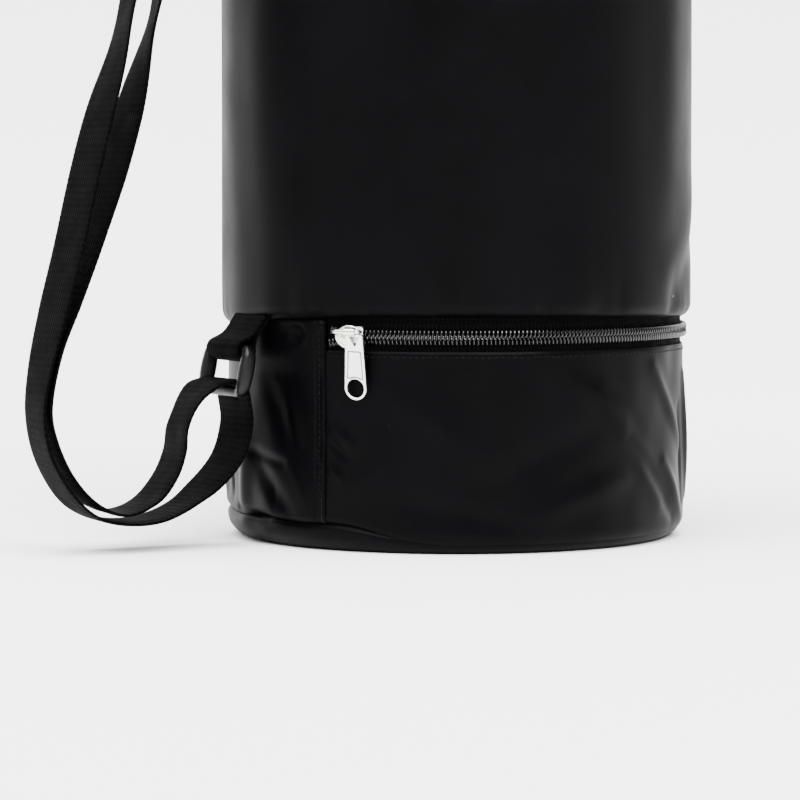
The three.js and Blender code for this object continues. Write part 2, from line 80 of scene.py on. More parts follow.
BODY_R = half_width("main_shell")
POCKET_R = half_width("base_panel")
BODY_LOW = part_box("main_shell")[0].z
BODY_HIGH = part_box("main_shell")[1].z
BASE_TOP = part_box("base_panel")[1].z
FLAP_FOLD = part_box("pocket_front_panel")[1].z
POCKET_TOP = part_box("pocket_back_panel")[1].z
POCKET_CHAIN = joints["pocket_zip_travel"]["pos_m"][2]
LID_CHAIN = joints["lid_zip_travel"]["pos_m"][2]
POCKET_START, POCKET_END = -34.0, 146.0
LID_REACH = 150.0
PLACKET_SPAN = 2.7  # degrees that a placket takes up beside the zip
LAP = 0.3  # degrees that a panel runs under a placket
STRAP_HEADING = -60.0
POCKET_TAPE_R = 85.5 * MM
LID_TAPE_R = 86.5 * MM
SLIDER_FRONT = 4.7 * MM  # from a tape's inner face to the face of its slider
COIL_IN = 0.9 * MM  # from a tape's inner face to the back of its coil
RING_LEAN = math.radians(12)
RING_REACH = 7.75 * MM  # from a ring's middle to the middle of its upper or lower bar
STRAP_SLOPE = math.atan2(10.3, 40)  # how far the straight upper stretch of the strap leans out
GLIDE_CENTRE = (120.9 * MM, 270 * MM)  # (radius, height)
GLIDE_BAR_IN = 4.1 * MM  # from the strap in to the adjuster's round bar


# ---------- camera, floor and light ----------

CAMERA_X = -0.0215  # the view's middle, a little to the strap's side


def add_object(name, data):
    made = bpy.data.objects.new(name, data)
    bpy.context.scene.collection.objects.link(made)
    return made


def aim(thing, location, target):
    """Puts a camera or a light at a place, pointed at a target."""
    thing.location = location
    thing.rotation_euler = (Vector(target) - thing.location).to_track_quat("-Z", "Y").to_euler()


def add_camera():
    data = bpy.data.cameras.new("camera")
    data.lens = 159
    data.sensor_width = 36
    camera = add_object("camera", data)
    aim(camera, (CAMERA_X, -1.36, 0.138), (CAMERA_X, 0, 0.051))
    bpy.context.scene.camera = camera


def add_area_light(name, location, target, size, power):
    data = bpy.data.lights.new(name, "AREA")
    data.shape = "RECTANGLE"
    data.size, data.size_y = size
    data.energy = power
    aim(add_object(name, data), location, target)


def add_floor():
    """A floor that sweeps up into a backdrop behind the bag."""
    reach, sweep_start, sweep_radius, top = 6.0, 3.4, 1.0, 5.0
    turn = [
        (sweep_start + sweep_radius * math.sin(a), sweep_radius * (1 - math.cos(a)))
        for a in np.linspace(0, np.pi / 2, 17)
    ]
    line = [(-reach, 0.0), *turn, (sweep_start + sweep_radius, top)]
    vertices = [(x, y, z) for y, z in line for x in (-reach, reach)]
    faces = [(2 * i, 2 * i + 1, 2 * i + 3, 2 * i + 2) for i in range(len(line) - 1)]
    mesh = bpy.data.meshes.new("floor")
    mesh.from_pydata(vertices, [], faces)
    mesh.polygons.foreach_set("use_smooth", [True] * len(mesh.polygons))
    floor = add_object("floor", mesh)
    material = bpy.data.materials.new("floor")
    material.use_nodes = True
    shader = material.node_tree.nodes["Principled BSDF"]
    shader.inputs["Base Color"].default_value = (0.93, 0.93, 0.93, 1)
    shader.inputs["Roughness"].default_value = 0.8
    shader.inputs["Specular IOR Level"].default_value = 0.1
    floor.data.materials.append(material)


def add_sun(name, location, strength, spread):
    """Even light over the floor and the backdrop, with soft shadows."""
    data = bpy.data.lights.new(name, "SUN")
    data.energy = strength
    data.angle = math.radians(spread)
    aim(add_object(name, data), location, (0, 0, 0))


def add_world():
    world = bpy.data.worlds.new("studio")
    world.use_nodes = True
    background = world.node_tree.nodes["Background"]
    background.inputs["Color"].default_value = (1, 1, 1, 1)
    background.inputs["Strength"].default_value = 0.6
    bpy.context.scene.world = world


# ---------- materials ----------

RIB_SCALE = 1 / 6.283  # a wave texture's scale times the width of one rib


def principled(name, colour, roughness, metallic=0.0, sheen=0.0, specular=0.5):
    material = bpy.data.materials.new(name)
    material.use_nodes = True
    shader = material.node_tree.nodes["Principled BSDF"]
    shader.inputs["Base Color"].default_value = (*colour, 1)
    shader.inputs["Roughness"].default_value = roughness
    shader.inputs["Metallic"].default_value = metallic
    shader.inputs["Specular IOR Level"].default_value = specular
    shader.inputs["Sheen Weight"].default_value = sheen
    shader.inputs["Sheen Roughness"].default_value = 0.5
    shader.inputs["Sheen Tint"].default_value = (0.55, 0.55, 0.7, 1)
    return material, material.node_tree, shader


def scaled_coordinates(tree, scale, kind="UV", turn=0.0):
    coordinates = tree.nodes.new("ShaderNodeTexCoord")
    mapping = tree.nodes.new("ShaderNodeMapping")
    mapping.inputs["Scale"].default_value = scale
    mapping.inputs["Rotation"].default_value = (0, 0, turn)
    tree.links.new(coordinates.outputs[kind], mapping.inputs["Vector"])
    return mapping.outputs["Vector"]


def wave(tree, vector, scale, direction="X", distortion=0.0):
    node = tree.nodes.new("ShaderNodeTexWave")
    node.wave_type = "BANDS"
    node.bands_direction = direction
    node.inputs["Scale"].default_value = scale
    node.inputs["Distortion"].default_value = distortion
    tree.links.new(vector, node.inputs["Vector"])
    return node.outputs["Fac"]


def noise(tree, vector, scale, detail=4.0):
    node = tree.nodes.new("ShaderNodeTexNoise")
    node.inputs["Scale"].default_value = scale
    node.inputs["Detail"].default_value = detail
    tree.links.new(vector, node.inputs["Vector"])
    return node.outputs["Fac"]


def blend_values(tree, a, b, kind="MULTIPLY"):
    node = tree.nodes.new("ShaderNodeMath")
    node.operation = kind
    tree.links.new(a, node.inputs[0])
    tree.links.new(b, node.inputs[1])
    return node.outputs[0]


def bump(tree, shader, height, strength, distance):
    node = tree.nodes.new("ShaderNodeBump")
    node.inputs["Strength"].default_value = strength
    node.inputs["Distance"].default_value = distance
    tree.links.new(height, node.inputs["Height"])
    previous = shader.inputs["Normal"].links
    if previous:
        tree.links.new(previous[0].from_socket, node.inputs["Normal"])
    tree.links.new(node.outputs["Normal"], shader.inputs["Normal"])


def varied(tree, factor, socket, low, high, start=0.3, end=0.7):
    """Drives a socket from low to high as the factor goes from start to end."""
    ramp = tree.nodes.new("ShaderNodeValToRGB")
    ramp.color_ramp.elements[0].position = start
    ramp.color_ramp.elements[1].position = end
    ramp.color_ramp.elements[0].color = (*low, 1)
    ramp.color_ramp.elements[1].color = (*high, 1)
    tree.links.new(factor, ramp.inputs["Fac"])
    tree.links.new(ramp.outputs["Color"], socket)


def grey(value):
    return (value, value, value)


def twill_fabric(name, dark, light, roughness=0.5, rib=0.75 * MM, depth=0.035 * MM, sheen=0.0025):
    """Nylon twill: fine diagonal ribs, a little uneven in colour and gloss."""
    material, tree, shader = principled(name, dark, roughness, sheen=sheen, specular=0.032)
    surface = scaled_coordinates(tree, (1, 1, 1), turn=math.radians(38))
    ribs = wave(tree, surface, RIB_SCALE / rib, distortion=0.6)
    crossing = wave(tree, surface, 2 * RIB_SCALE / rib, "Y")
    weave = blend_values(tree, ribs, crossing)
    broad = noise(tree, surface, 28)
    varied(tree, broad, shader.inputs["Base Color"], dark, light)
    duller, glossier = grey(roughness + 0.07), grey(roughness - 0.05)
    varied(tree, broad, shader.inputs["Roughness"], glossier, duller)
    bump(tree, shader, weave, 0.55, depth)
    bump(tree, shader, noise(tree, surface, 260), 0.25, 0.06 * MM)
    return material


def woven_webbing(name, dark, light, rib=1.25 * MM):
    """Nylon webbing: ribs across its width, with finer threads along it."""
    material, tree, shader = principled(name, dark, 0.75, specular=0.012)
    surface = scaled_coordinates(tree, (1, 1, 1))
    across = wave(tree, surface, RIB_SCALE / rib, "X", 0.15)
    threads = wave(tree, surface, RIB_SCALE / (0.9 * MM), "Y", 0.1)
    weave = blend_values(tree, across, threads, "ADD")
    varied(tree, across, shader.inputs["Base Color"], dark, light, 0.1, 0.9)
    varied(tree, noise(tree, surface, 90), shader.inputs["Roughness"], grey(0.66), grey(0.82))
    bump(tree, shader, weave, 0.7, 0.16 * MM)
    return material


def smooth_plastic(name, colour, roughness, specular=0.3):
    material, tree, shader = principled(name, colour, roughness, specular=specular)
    surface = scaled_coordinates(tree, (1, 1, 1), "Object")
    duller, glossier = grey(roughness + 0.08), grey(roughness - 0.06)
    varied(tree, noise(tree, surface, 120), shader.inputs["Roughness"], glossier, duller)
    bump(tree, shader, noise(tree, surface, 900), 0.18, 0.03 * MM)
    return material


def bright_nickel(name, low=(0.74, 0.73, 0.71), high=(0.88, 0.87, 0.85)):
    """Plated zinc: bright, with a faint cast waviness and a duller film in places."""
    material, tree, shader = principled(name, high, 0.2, metallic=1.0)
    surface = scaled_coordinates(tree, (1, 1, 1), "Object")
    varied(tree, noise(tree, surface, 160), shader.inputs["Roughness"], grey(0.14), grey(0.3))
    varied(tree, noise(tree, surface, 60), shader.inputs["Base Color"], low, high)
    bump(tree, shader, noise(tree, surface, 420), 0.12, 0.03 * MM)
    return material


def open_foam(name, dark=(0.035, 0.035, 0.037), light=(0.07, 0.07, 0.073)):
    material, tree, shader = principled(name, dark, 0.95)
    surface = scaled_coordinates(tree, (1, 1, 1), "Object")
    varied(tree, noise(tree, surface, 700), shader.inputs["Base Color"], dark, light)
    bump(tree, shader, noise(tree, surface, 900), 0.5, 0.2 * MM)
    return material


SHELL = twill_fabric("shell_twill", (0.0003, 0.0003, 0.00045), (0.0007, 0.0007, 0.001), roughness=0.46)
POCKET = twill_fabric("pocket_twill", (0.0003, 0.0003, 0.00045), (0.0006, 0.0006, 0.0009), roughness=0.4)
LINING = twill_fabric("lining_cloth", (0.005, 0.0052, 0.006), (0.008, 0.0082, 0.0095), rib=0.5 * MM)
TAPE = woven_webbing("zip_tape", (0.0006, 0.0006, 0.0007), (0.0014, 0.0014, 0.0016), rib=0.8 * MM)
WEBBING = woven_webbing("strap_webbing", (0.0004, 0.0004, 0.0004), (0.0016, 0.0016, 0.0016))
BINDING = woven_webbing("binding_tape", (0.0006, 0.0006, 0.0007), (0.0013, 0.0013, 0.0015), rib=0.9 * MM)
THREAD = twill_fabric("sewing_thread", (0.0012, 0.0012, 0.0014), (0.0032, 0.0032, 0.0036), 0.4, rib=0.35 * MM)
COIL = smooth_plastic("coil_nylon", (0.0008, 0.0008, 0.001), 0.22, 0.4)
PLASTIC = smooth_plastic("moulded_acetal", (0.0007, 0.0007, 0.0008), 0.36, 0.2)
BOARD = smooth_plastic("stiffener_board", (0.003, 0.003, 0.0033), 0.6)
NICKEL = bright_nickel("nickel_plate")
# Painted shade: a much darker copy of the same nickel for the pull's plate, which shows only in the grooves
# and at the hole edges under the rim.
GROOVE_SHADE_NICKEL = bright_nickel("nickel_painted_groove_shade", (0.09, 0.09, 0.09), (0.16, 0.16, 0.155))
FOAM = open_foam("padding_foam")


# ---------- mesh building ----------

def make_object(name, vertices, faces, uvs, material, sharp=40):
    """uvs holds one pair for each vertex, in metres along the cloth."""
    mesh = bpy.data.meshes.new(name)
    mesh.from_pydata([tuple(v) for v in vertices], [], [tuple(f) for f in faces])
    if uvs is not None:
        layer = mesh.uv_layers.new(name="UVMap")
        loops = np.zeros(len(mesh.loops), np.int32)
        mesh.loops.foreach_get("vertex_index", loops)
        layer.data.foreach_set("uv", np.asarray(uvs, np.float32)[loops].ravel())
    shade_smooth(mesh, sharp)
    mesh.materials.append(material)
    mesh.update()
    return add_object(f"{name}_piece", mesh)


def shade_smooth(mesh, sharp):
    """Smooth shading, apart from edges sharper than an angle in degrees."""
    mesh.polygons.foreach_set("use_smooth", [True] * len(mesh.polygons))
    mesh.set_sharp_from_angle(angle=math.radians(sharp))


def run_along(points):
    """The distance along a line of points, at each point."""
    steps = np.linalg.norm(np.diff(points, axis=0), axis=1)
    return np.concatenate([[0], np.cumsum(steps)])


def ring_headings(count):
    return np.linspace(-180, 180, count, endpoint=False)


def grid_normals(points, closed):
    if closed:
        along = np.roll(points, -1, axis=0) - np.roll(points, 1, axis=0)
    else:
        along = np.gradient(points, axis=0)
    across = np.gradient(points, axis=1)
    normals = np.cross(along, across)
    length = np.linalg.norm(normals, axis=2, keepdims=True)
    return normals / np.maximum(length, 1e-12)


def grid_faces(count_u, count_v, closed, offset=0, flip=False):
    steps = count_u if closed else count_u - 1
    u = np.arange(steps)[:, None]
    v = np.arange(count_v - 1)[None, :]
    a = u * count_v + v
    b = ((u + 1) % count_u) * count_v + v
    quads = np.stack([a, b, b + 1, a + 1], axis=2).reshape(-1, 4) + offset
    return quads[:, ::-1] if flip else quads


def rim_faces(ring_a, ring_b, closed):
    """Quads that close the edge between two matching rows of vertices."""
    count = len(ring_a)
    steps = count if closed else count - 1
    return [
        (ring_a[i], ring_b[i], ring_b[(i + 1) % count], ring_a[(i + 1) % count])
        for i in range(steps)
    ]


def cloth(name, points, uvs, thickness, material, closed=False):
    """A closed sheet: points[u, v] is its outer face, seen with u to the right and v up."""
    count_u, count_v, _ = points.shape
    inner = points - grid_normals(points, closed) * thickness
    size = count_u * count_v
    index = np.arange(size).reshape(count_u, count_v)
    faces = list(grid_faces(count_u, count_v, closed))
    faces += list(grid_faces(count_u, count_v, closed, size, flip=True))
    faces += rim_faces(index[:, 0] + size, index[:, 0], closed)
    faces += rim_faces(index[:, -1], index[:, -1] + size, closed)
    if not closed:
        faces += rim_faces(index[0, :], index[0, :] + size, False)
        faces += rim_faces(index[-1, :] + size, index[-1, :], False)
    vertices = np.concatenate([points.reshape(-1, 3), inner.reshape(-1, 3)])
    flat = uvs.reshape(-1, 2)
    piece = make_object(name, vertices, faces, np.concatenate([flat, flat]), material)
    face_outwards(piece)
    return piece


def face_outwards(piece):
    work = bmesh.new()
    work.from_mesh(piece.data)
    bmesh.ops.recalc_face_normals(work, faces=work.faces)
    work.to_mesh(piece.data)
    work.free()


def around(heading, radius, height):
    """Points at a heading and radius; the three may be arrays of one shape."""
    angle = np.radians(heading)
    return np.stack([radius * np.sin(angle), -radius * np.cos(angle), height + 0 * angle], axis=-1)


def outward_at(headings):
    return around(headings, 1 + 0 * headings, 0 * headings)


def wall(name, headings, heights, radius_at, thickness, material, closed=False):
    """A cloth wall whose outer radius is radius_at(heading, height)."""
    h, z = np.meshgrid(headings, heights, indexing="ij")
    radius = radius_at(h, z)
    uvs = np.stack([np.radians(h) * BODY_R, z], axis=-1)
    return cloth(name, around(h, radius, z), uvs, thickness, material, closed)


def revolved(name, profile, headings, material, offset_at=None, closed_profile=False, flat=False):
    """A closed solid of revolution from [radius, height] pairs listed anticlockwise.

    A flat one has its cloth laid across it, not round it.
    """
    profile = np.asarray(profile, float)
    h = np.asarray(headings, float)[:, None] + 0 * profile[:, 0][None, :]
    radius = profile[:, 0][None, :] + 0 * h
    height = profile[:, 1][None, :] + 0 * h
    if offset_at is not None:
        radius, height = offset_at(h, radius, height)
    points = around(h, radius, height)
    if flat:
        uvs = points[:, :, :2]
    else:
        uvs = np.stack([np.radians(h) * BODY_R, run_along(profile)[None, :] + 0 * h], axis=-1)
    count_u, count_v, _ = points.shape
    faces = list(grid_faces(count_u, count_v, True))
    if closed_profile:
        index = np.arange(count_u * count_v).reshape(count_u, count_v)
        faces += rim_faces(index[:, -1], index[:, 0], True)
    piece = make_object(name, points.reshape(-1, 3), faces, uvs.reshape(-1, 2), material)
    weld(piece)
    face_outwards(piece)
    return piece


def weld(piece, distance=1e-6):
    work = bmesh.new()
    work.from_mesh(piece.data)
    bmesh.ops.remove_doubles(work, verts=work.verts, dist=distance)
    work.to_mesh(piece.data)
    work.free()


def sweep(name, centres, sides, ups, section, material, closed=False):
    """A section carried along a path. section is [k, 2] or [n, k, 2], as (side, up) offsets."""
    centres, sides, ups = (np.asarray(a, float) for a in (centres, sides, ups))
    section = np.asarray(section, float)
    if section.ndim == 2:
        section = np.broadcast_to(section, (len(centres), *section.shape))
    points = (
        centres[:, None, :]
        + section[:, :, 0:1] * sides[:, None, :]
        + section[:, :, 1:2] * ups[:, None, :]
    )
    count_u, count_v, _ = points.shape
    uvs = np.stack([run_along(centres)[:, None] + 0 * section[:, :, 0], section[:, :, 0]], axis=-1)
    index = np.arange(count_u * count_v).reshape(count_u, count_v)
    faces = list(grid_faces(count_u, count_v, closed))
    faces += rim_faces(index[:, -1], index[:, 0], closed)
    if not closed:
        faces += [tuple(index[0]), tuple(index[-1][::-1])]
    piece = make_object(name, points.reshape(-1, 3), faces, uvs.reshape(-1, 2), material)
    face_outwards(piece)
    return piece


def straight_sweep(name, path, side, up, section, material):
    """A section carried along a path without turning."""
    return sweep(name, path, [side] * len(path), [up] * len(path), section, material)


def round_section(radius, count=8):
    angles = np.arange(count) * 2 * np.pi / count
    return np.stack([radius * np.cos(angles), radius * np.sin(angles)], axis=1)


def soft_section(width, height, power=4.0, count=20):
    """A rounded bar's outline, between an ellipse and a rectangle."""
    angles = np.arange(count) * 2 * np.pi / count
    c, s = np.cos(angles), np.sin(angles)
    x = np.sign(c) * np.abs(c) ** (2 / power) * width / 2
    y = np.sign(s) * np.abs(s) ** (2 / power) * height / 2
    return np.stack([x, y], axis=1)


def smooth_path(points, step):
    """Catmull-Rom through the points, resampled at even steps."""
    points = np.asarray(points, float)
    padded = np.vstack([2 * points[0] - points[1], points, 2 * points[-1] - points[-2]])
    dense = []
    for i in range(len(points) - 1):
        p0, p1, p2, p3 = padded[i : i + 4]
        t = np.linspace(0, 1, 24, endpoint=False)[:, None]
        dense.append(0.5 * (
            2 * p1 + (p2 - p0) * t + (2 * p0 - 5 * p1 + 4 * p2 - p3) * t**2
            + (3 * p1 - p0 - 3 * p2 + p3) * t**3
        ))
    dense = np.vstack([*dense, points[-1:]])
    run = run_along(dense)
    marks = np.linspace(0, run[-1], max(2, int(round(run[-1] / step)) + 1))
    return np.stack([np.interp(marks, run, dense[:, k]) for k in range(dense.shape[1])], axis=1)


def unit(vectors):
    return vectors / np.maximum(np.linalg.norm(vectors, axis=-1, keepdims=True), 1e-12)


def stitch_row(name, points, outward, body, spacing=2.4 * MM, radius=0.28 * MM):
    """Separate thread stitches along a line, each sunk a little into the cloth."""
    points, outward = np.asarray(points, float), unit(np.asarray(outward, float))
    run = run_along(points)
    count = max(1, int(run[-1] / spacing))
    rings, sides = 6, 6
    along = np.linspace(-1, 1, rings)
    bulge = np.sqrt(np.clip(1 - along**2, 0.02, 1)) * radius
    angles = np.arange(sides) * 2 * np.pi / sides
    vertices, faces = [], []

    def at(distance, values):
        return np.array([np.interp(distance, run, values[:, i]) for i in range(3)])

    for k in range(count):
        centre_run = (k + 0.5) * spacing
        centre = at(centre_run, points)
        ahead = at(centre_run + 0.3 * spacing, points)
        normal = unit(at(centre_run, outward))
        tangent = unit(ahead - centre)
        side = np.cross(tangent, normal)
        start = len(vertices)
        for step, size in zip(along, bulge):
            sunk = normal * radius * 0.9 * abs(step) ** 2
            middle = centre + tangent * step * spacing * 0.4 - sunk
            for angle in angles:
                vertices.append(middle + side * size * math.cos(angle) + normal * size * math.sin(angle))
        block = grid_faces(rings, sides, False, start)
        faces += [tuple(f) for f in block]
        index = np.arange(rings * sides).reshape(rings, sides) + start
        faces += rim_faces(index[:, -1], index[:, 0], False)
        faces += [tuple(index[0]), tuple(index[-1][::-1])]
    uvs = np.zeros((len(vertices), 2))
    uvs[:, 0] = np.arange(len(vertices)) * 0.1 * MM
    piece = make_object(name, vertices, faces, uvs, THREAD, sharp=80)
    face_outwards(piece)
    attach(piece, body)
    return piece


def finish_piece(piece, body, slot, *nodes):
    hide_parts(*nodes)
    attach(piece, body)
    return piece


def finish_blended(piece, node):
    """A piece that spans a joint, between two points: its CAD node is hidden and its transform baked into its
    mesh.
    """
    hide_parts(node)
    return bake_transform(piece)


# ---------- folds in the cloth ----------

def ease(value, start, end):
    t = np.clip((value - start) / (end - start), 0, 1)
    return t * t * (3 - 2 * t)


def turned(h):
    """A heading brought into -90..270, so that the folds' headings are continuous."""
    return (h + 90) % 360 - 90


def base_seam(h):
    """The base seam's height: it shows at the lower left and tucks under further right."""
    h = turned(h)
    tuck = ease(h, -36, -2) * (1 - ease(h, 196, 236))
    return 10.4 * MM - 7.0 * MM * tuck + 0.5 * MM * np.sin(np.radians(h) * 11) * (1 - tuck)


def seam_shows(h):
    h = turned(h)
    return 1 - 0.8 * ease(h, -30, 0) * (1 - ease(h, 196, 236))


def rounded_radius(z, corner=8 * MM):
    """The pocket's plain radius at a height, with its rounded lower edge."""
    low = np.clip(corner - z, 0, corner)
    return POCKET_R - corner + np.sqrt(np.maximum(corner**2 - low**2, 0))


def fold(h, z, start, end, width, depth, radius=POCKET_R):
    """A soft ridge (or a dent, with depth below 0) along a line between two [heading, height] points."""
    px = np.radians(h) * radius
    ax, az = math.radians(start[0]) * radius, start[1]
    bx, bz = math.radians(end[0]) * radius, end[1]
    dx, dz = bx - ax, bz - az
    t = np.clip(((px - ax) * dx + (z - az) * dz) / (dx * dx + dz * dz), 0, 1)
    away = np.hypot(px - ax - t * dx, z - az - t * dz)
    taper = np.sin(np.pi * (0.12 + 0.76 * t)) ** 0.7
    return depth * taper * np.exp(-((away / width) ** 2))


def ripple(h, z, seed, size, radius=POCKET_R):
    """Gentle irregular waves, a few millimetres to a few centimetres long."""
    waves = np.random.default_rng(seed)
    count = 14
    total = 0 * h
    for _ in range(count):
        around_count = waves.integers(3, 26)
        tall = waves.uniform(20, 130)
        phase = waves.uniform(0, 2 * np.pi, 2)
        across = np.sin(np.radians(h) * around_count + phase[0])
        total = total + across * np.sin(z * tall + phase[1]) / count
    return total * size


POCKET_FOLDS = [
    # [heading, height] of each end, width, depth; first the lit folds at the lower left
    ((-65, 0.037), (-66, 0.012), 5.4 * MM, 1.9 * MM),
    ((-63, 0.0350), (-48, 0.0312), 1.8 * MM, -0.9 * MM),
    ((-60, 0.033), (-45, 0.012), 3.6 * MM, -0.8 * MM),
    ((-57, 0.019), (-49, 0.0125), 4.2 * MM, 0.7 * MM),
    ((-52, 0.022), (-51, 0.014), 1.8 * MM, -0.4 * MM),
    ((-44, 0.030), (-38, 0.014), 3.4 * MM, 0.4 * MM),
    ((-88, 0.034), (-89, 0.016), 5.0 * MM, 1.5 * MM),
    ((-80, 0.030), (-76, 0.018), 2.2 * MM, -1.3 * MM),
    ((-70, 0.0125), (-54, 0.0105), 1.8 * MM, -1.4 * MM),
    ((-54, 0.062), (-48, 0.044), 4.5 * MM, -0.7 * MM),
    ((-46, 0.058), (-43, 0.040), 3.5 * MM, 0.6 * MM),
    # small folds beside the vertical seam
    ((-32.5, 0.047), (-27, 0.039), 2.4 * MM, 0.8 * MM),
    ((-33, 0.041), (-28, 0.035), 1.6 * MM, -0.8 * MM),
    ((-33, 0.031), (-30, 0.027), 2.2 * MM, 0.8 * MM),
    ((-31, 0.020), (-20, 0.030), 5.0 * MM, 0.5 * MM),
    # broad soft folds across the front
    ((-16, 0.058), (10, 0.032), 7.0 * MM, 0.7 * MM),
    ((-12, 0.018), (16, 0.010), 4.5 * MM, -0.9 * MM),
    ((2, 0.022), (34, 0.044), 6.0 * MM, -0.7 * MM),
    ((14, 0.012), (44, 0.026), 5.0 * MM, 0.9 * MM),
    ((30, 0.062), (44, 0.050), 4.0 * MM, 0.5 * MM),
    # diagonal folds at the lower right, and the lit crease on the right edge
    ((36, 0.058), (60, 0.018), 4.5 * MM, 1.3 * MM),
    ((46, 0.040), (68, 0.010), 3.2 * MM, -1.3 * MM),
    ((56, 0.066), (74, 0.036), 3.2 * MM, 1.1 * MM),
    ((62, 0.030), (76, 0.008), 3.0 * MM, 1.2 * MM),
    ((79, 0.062), (85, 0.016), 2.6 * MM, 1.6 * MM),
    ((74, 0.050), (79, 0.014), 2.4 * MM, -1.2 * MM),
    ((92, 0.050), (90, 0.012), 3.5 * MM, -1.5 * MM),
    ((110, 0.056), (128, 0.016), 5.0 * MM, 1.2 * MM),
    ((134, 0.064), (140, 0.020), 4.0 * MM, -1.0 * MM),
    # the side away from the front
    ((168, 0.060), (188, 0.016), 5.0 * MM, 1.2 * MM),
    ((204, 0.062), (214, 0.018), 5.5 * MM, -1.1 * MM),
    ((232, 0.058), (250, 0.014), 4.5 * MM, 1.3 * MM),
    ((255, 0.060), (262, 0.016), 4.0 * MM, -1.0 * MM),
]
DIMPLE = {"heading": -43.0, "height": 0.0795, "radius": 3.8 * MM, "depth": 0.9 * MM}


def dimple(h, z):
    """A round dent under the seam with a raised lip below it."""
    x = np.radians(h - DIMPLE["heading"]) * POCKET_R
    away = np.hypot(x, z - DIMPLE["height"]) / DIMPLE["radius"]
    lip = np.exp(-(((away - 1.25) / 0.32) ** 2)) * (0.35 + 0.3 * (z < DIMPLE["height"]))
    return DIMPLE["depth"] * (lip - np.exp(-(away**2)))


def pocket_relief(h, z):
    """How far the pocket's cloth stands out from its plain shape."""
    h = turned(h)
    total = ripple(h, z, seed=3, size=1.1 * MM) + dimple(h, z)
    for start, end, width, depth in POCKET_FOLDS:
        total = total + fold(h, z, start, end, width, depth)
    fine = ripple(h * 1.7, z * 1.6, seed=9, size=0.25 * MM)
    hold_low = 0.3 + 0.7 * ease(z, 0, 9 * MM)
    hold_high = ease(POCKET_TOP - z, 0, 3 * MM)
    return (total + fine) * hold_low * hold_high


def body_relief(h, z):
    """Padding, broad soft waves and the small puckers above the seam."""
    broad = ripple(h, z * 0.25, seed=11, size=1.3 * MM, radius=BODY_R)
    rise = z - BODY_LOW
    pucker = np.zeros_like(h)
    waves = np.random.default_rng(5)
    for _ in range(64):
        heading = waves.uniform(-180, 180)
        width = waves.uniform(1.3, 3.2)
        depth = waves.uniform(0.15, 0.65) * MM
        reach = waves.uniform(5, 16) * MM
        away = (h - heading + 180) % 360 - 180
        pucker -= depth * np.exp(-((away / width) ** 2)) * np.exp(-((rise / reach) ** 2))
    corner = fold(h, z, (64, BODY_LOW + 0.006), (88, BODY_LOW + 0.028), 6 * MM, -0.9 * MM, BODY_R)
    corner += fold(h, z, (60, BODY_LOW + 0.016), (84, BODY_LOW + 0.044), 7 * MM, 0.6 * MM, BODY_R)
    ends = np.clip(rise / (3 * MM), 0, 1) * np.clip((BODY_HIGH - z) / (4 * MM), 0, 1)
    return (broad + pucker + corner) * ends


def body_droop(h, z):
    """The padded wall hangs over the seam at the sides."""
    side = 1 - np.clip(np.cos(np.radians(h)), 0, 1) ** 1.5
    left = np.clip(-np.sin(np.radians(h)), 0, 1)
    return (2.8 + 2.4 * left) * MM * side * np.exp(-(((z - BODY_LOW) / (11 * MM)) ** 2))


# ---------- upper body ----------

def upper_body():
    corner = 5 * MM
    profile = arc_points(BODY_R - corner, BODY_LOW + corner, corner, -90, 0, 9)
    straight = np.linspace(BODY_LOW + corner, BODY_HIGH, 130)[1:]
    profile = np.array(profile + [(BODY_R, z) for z in straight])
    h, z = np.meshgrid(ring_headings(480), profile[:, 1], indexing="ij")
    seam_heading, seam_width, seam_depth = 179.9, 0.8, 0.8 * MM
    from_seam = (h - seam_heading + 180) % 360 - 180
    relief = body_relief(h, z) - seam_depth * np.exp(-(from_seam / seam_width) ** 2)
    radius = np.broadcast_to(profile[:, 0], h.shape) + relief
    uvs = np.stack([np.radians(h) * BODY_R, z], axis=-1)
    z = z - body_droop(h, z)
    piece = cloth("upper_body", around(h, radius, z), uvs, 0.8 * MM, SHELL, closed=True)
    return finish_piece(piece, "bag", "shell_fabric", "main_shell")


def back_seam_stitches():
    z = np.linspace(BODY_LOW + 8 * MM, BODY_HIGH - 4 * MM, 60)
    for side, name in ((-1, "left"), (1, "right")):
        h = 180 + side * 2.0 + 0 * z
        relief = body_relief(h, z)
        points = around(h, BODY_R + relief + 0.05 * MM, z)
        stitch_row(f"back_seam_stitches_{name}", points, outward_at(h), "bag")


def seam_groove():
    low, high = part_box("seam_welt")
    middle = (low.z + high.z) / 2
    r = half_width("seam_welt") - 1.4 * MM
    angles = np.linspace(0, 2 * np.pi, 16, endpoint=False)
    profile = [(r + 1.2 * MM * math.cos(a), middle + 1.7 * MM * math.sin(a)) for a in angles]
    piece = revolved("seam_piping", profile, ring_headings(240), BINDING, closed_profile=True)
    return finish_piece(piece, "bag", "shell_fabric", "seam_welt")


# ---------- pocket ----------

def edge_turn(away, depth, reach):
    """How far cloth bends in towards a seam that is `away` from it."""
    return depth * (1 - np.clip(away / reach, 0, 1)) ** 2


def pocket_surface(h, z):
    low = base_seam(h)
    return rounded_radius(z) + pocket_relief(h, z) - edge_turn(z - low, 1.3 * MM * seam_shows(h), 2.4 * MM)


def pocket_cloth(name, start, end, top, radius_at, node):
    headings = np.linspace(start, end, max(12, int((end - start) * 1.8)))
    low_edge, high_edge = 0.08, 0.95  # beyond these shares of the height the rows are closer
    share = np.concatenate([
        np.linspace(0, low_edge, 7)[:-1],
        np.linspace(low_edge, high_edge, 58)[:-1],
        np.linspace(high_edge, 1, 7),
    ])
    h, s = np.meshgrid(headings, share, indexing="ij")
    low = base_seam(h) + 0.1 * MM
    z = low + s * (top - low)
    uvs = np.stack([np.radians(h) * POCKET_R, z], axis=-1)
    piece = cloth(name, around(h, radius_at(h, z), z), uvs, 0.7 * MM, POCKET)
    return finish_piece(piece, "bag", "shell_fabric", node)


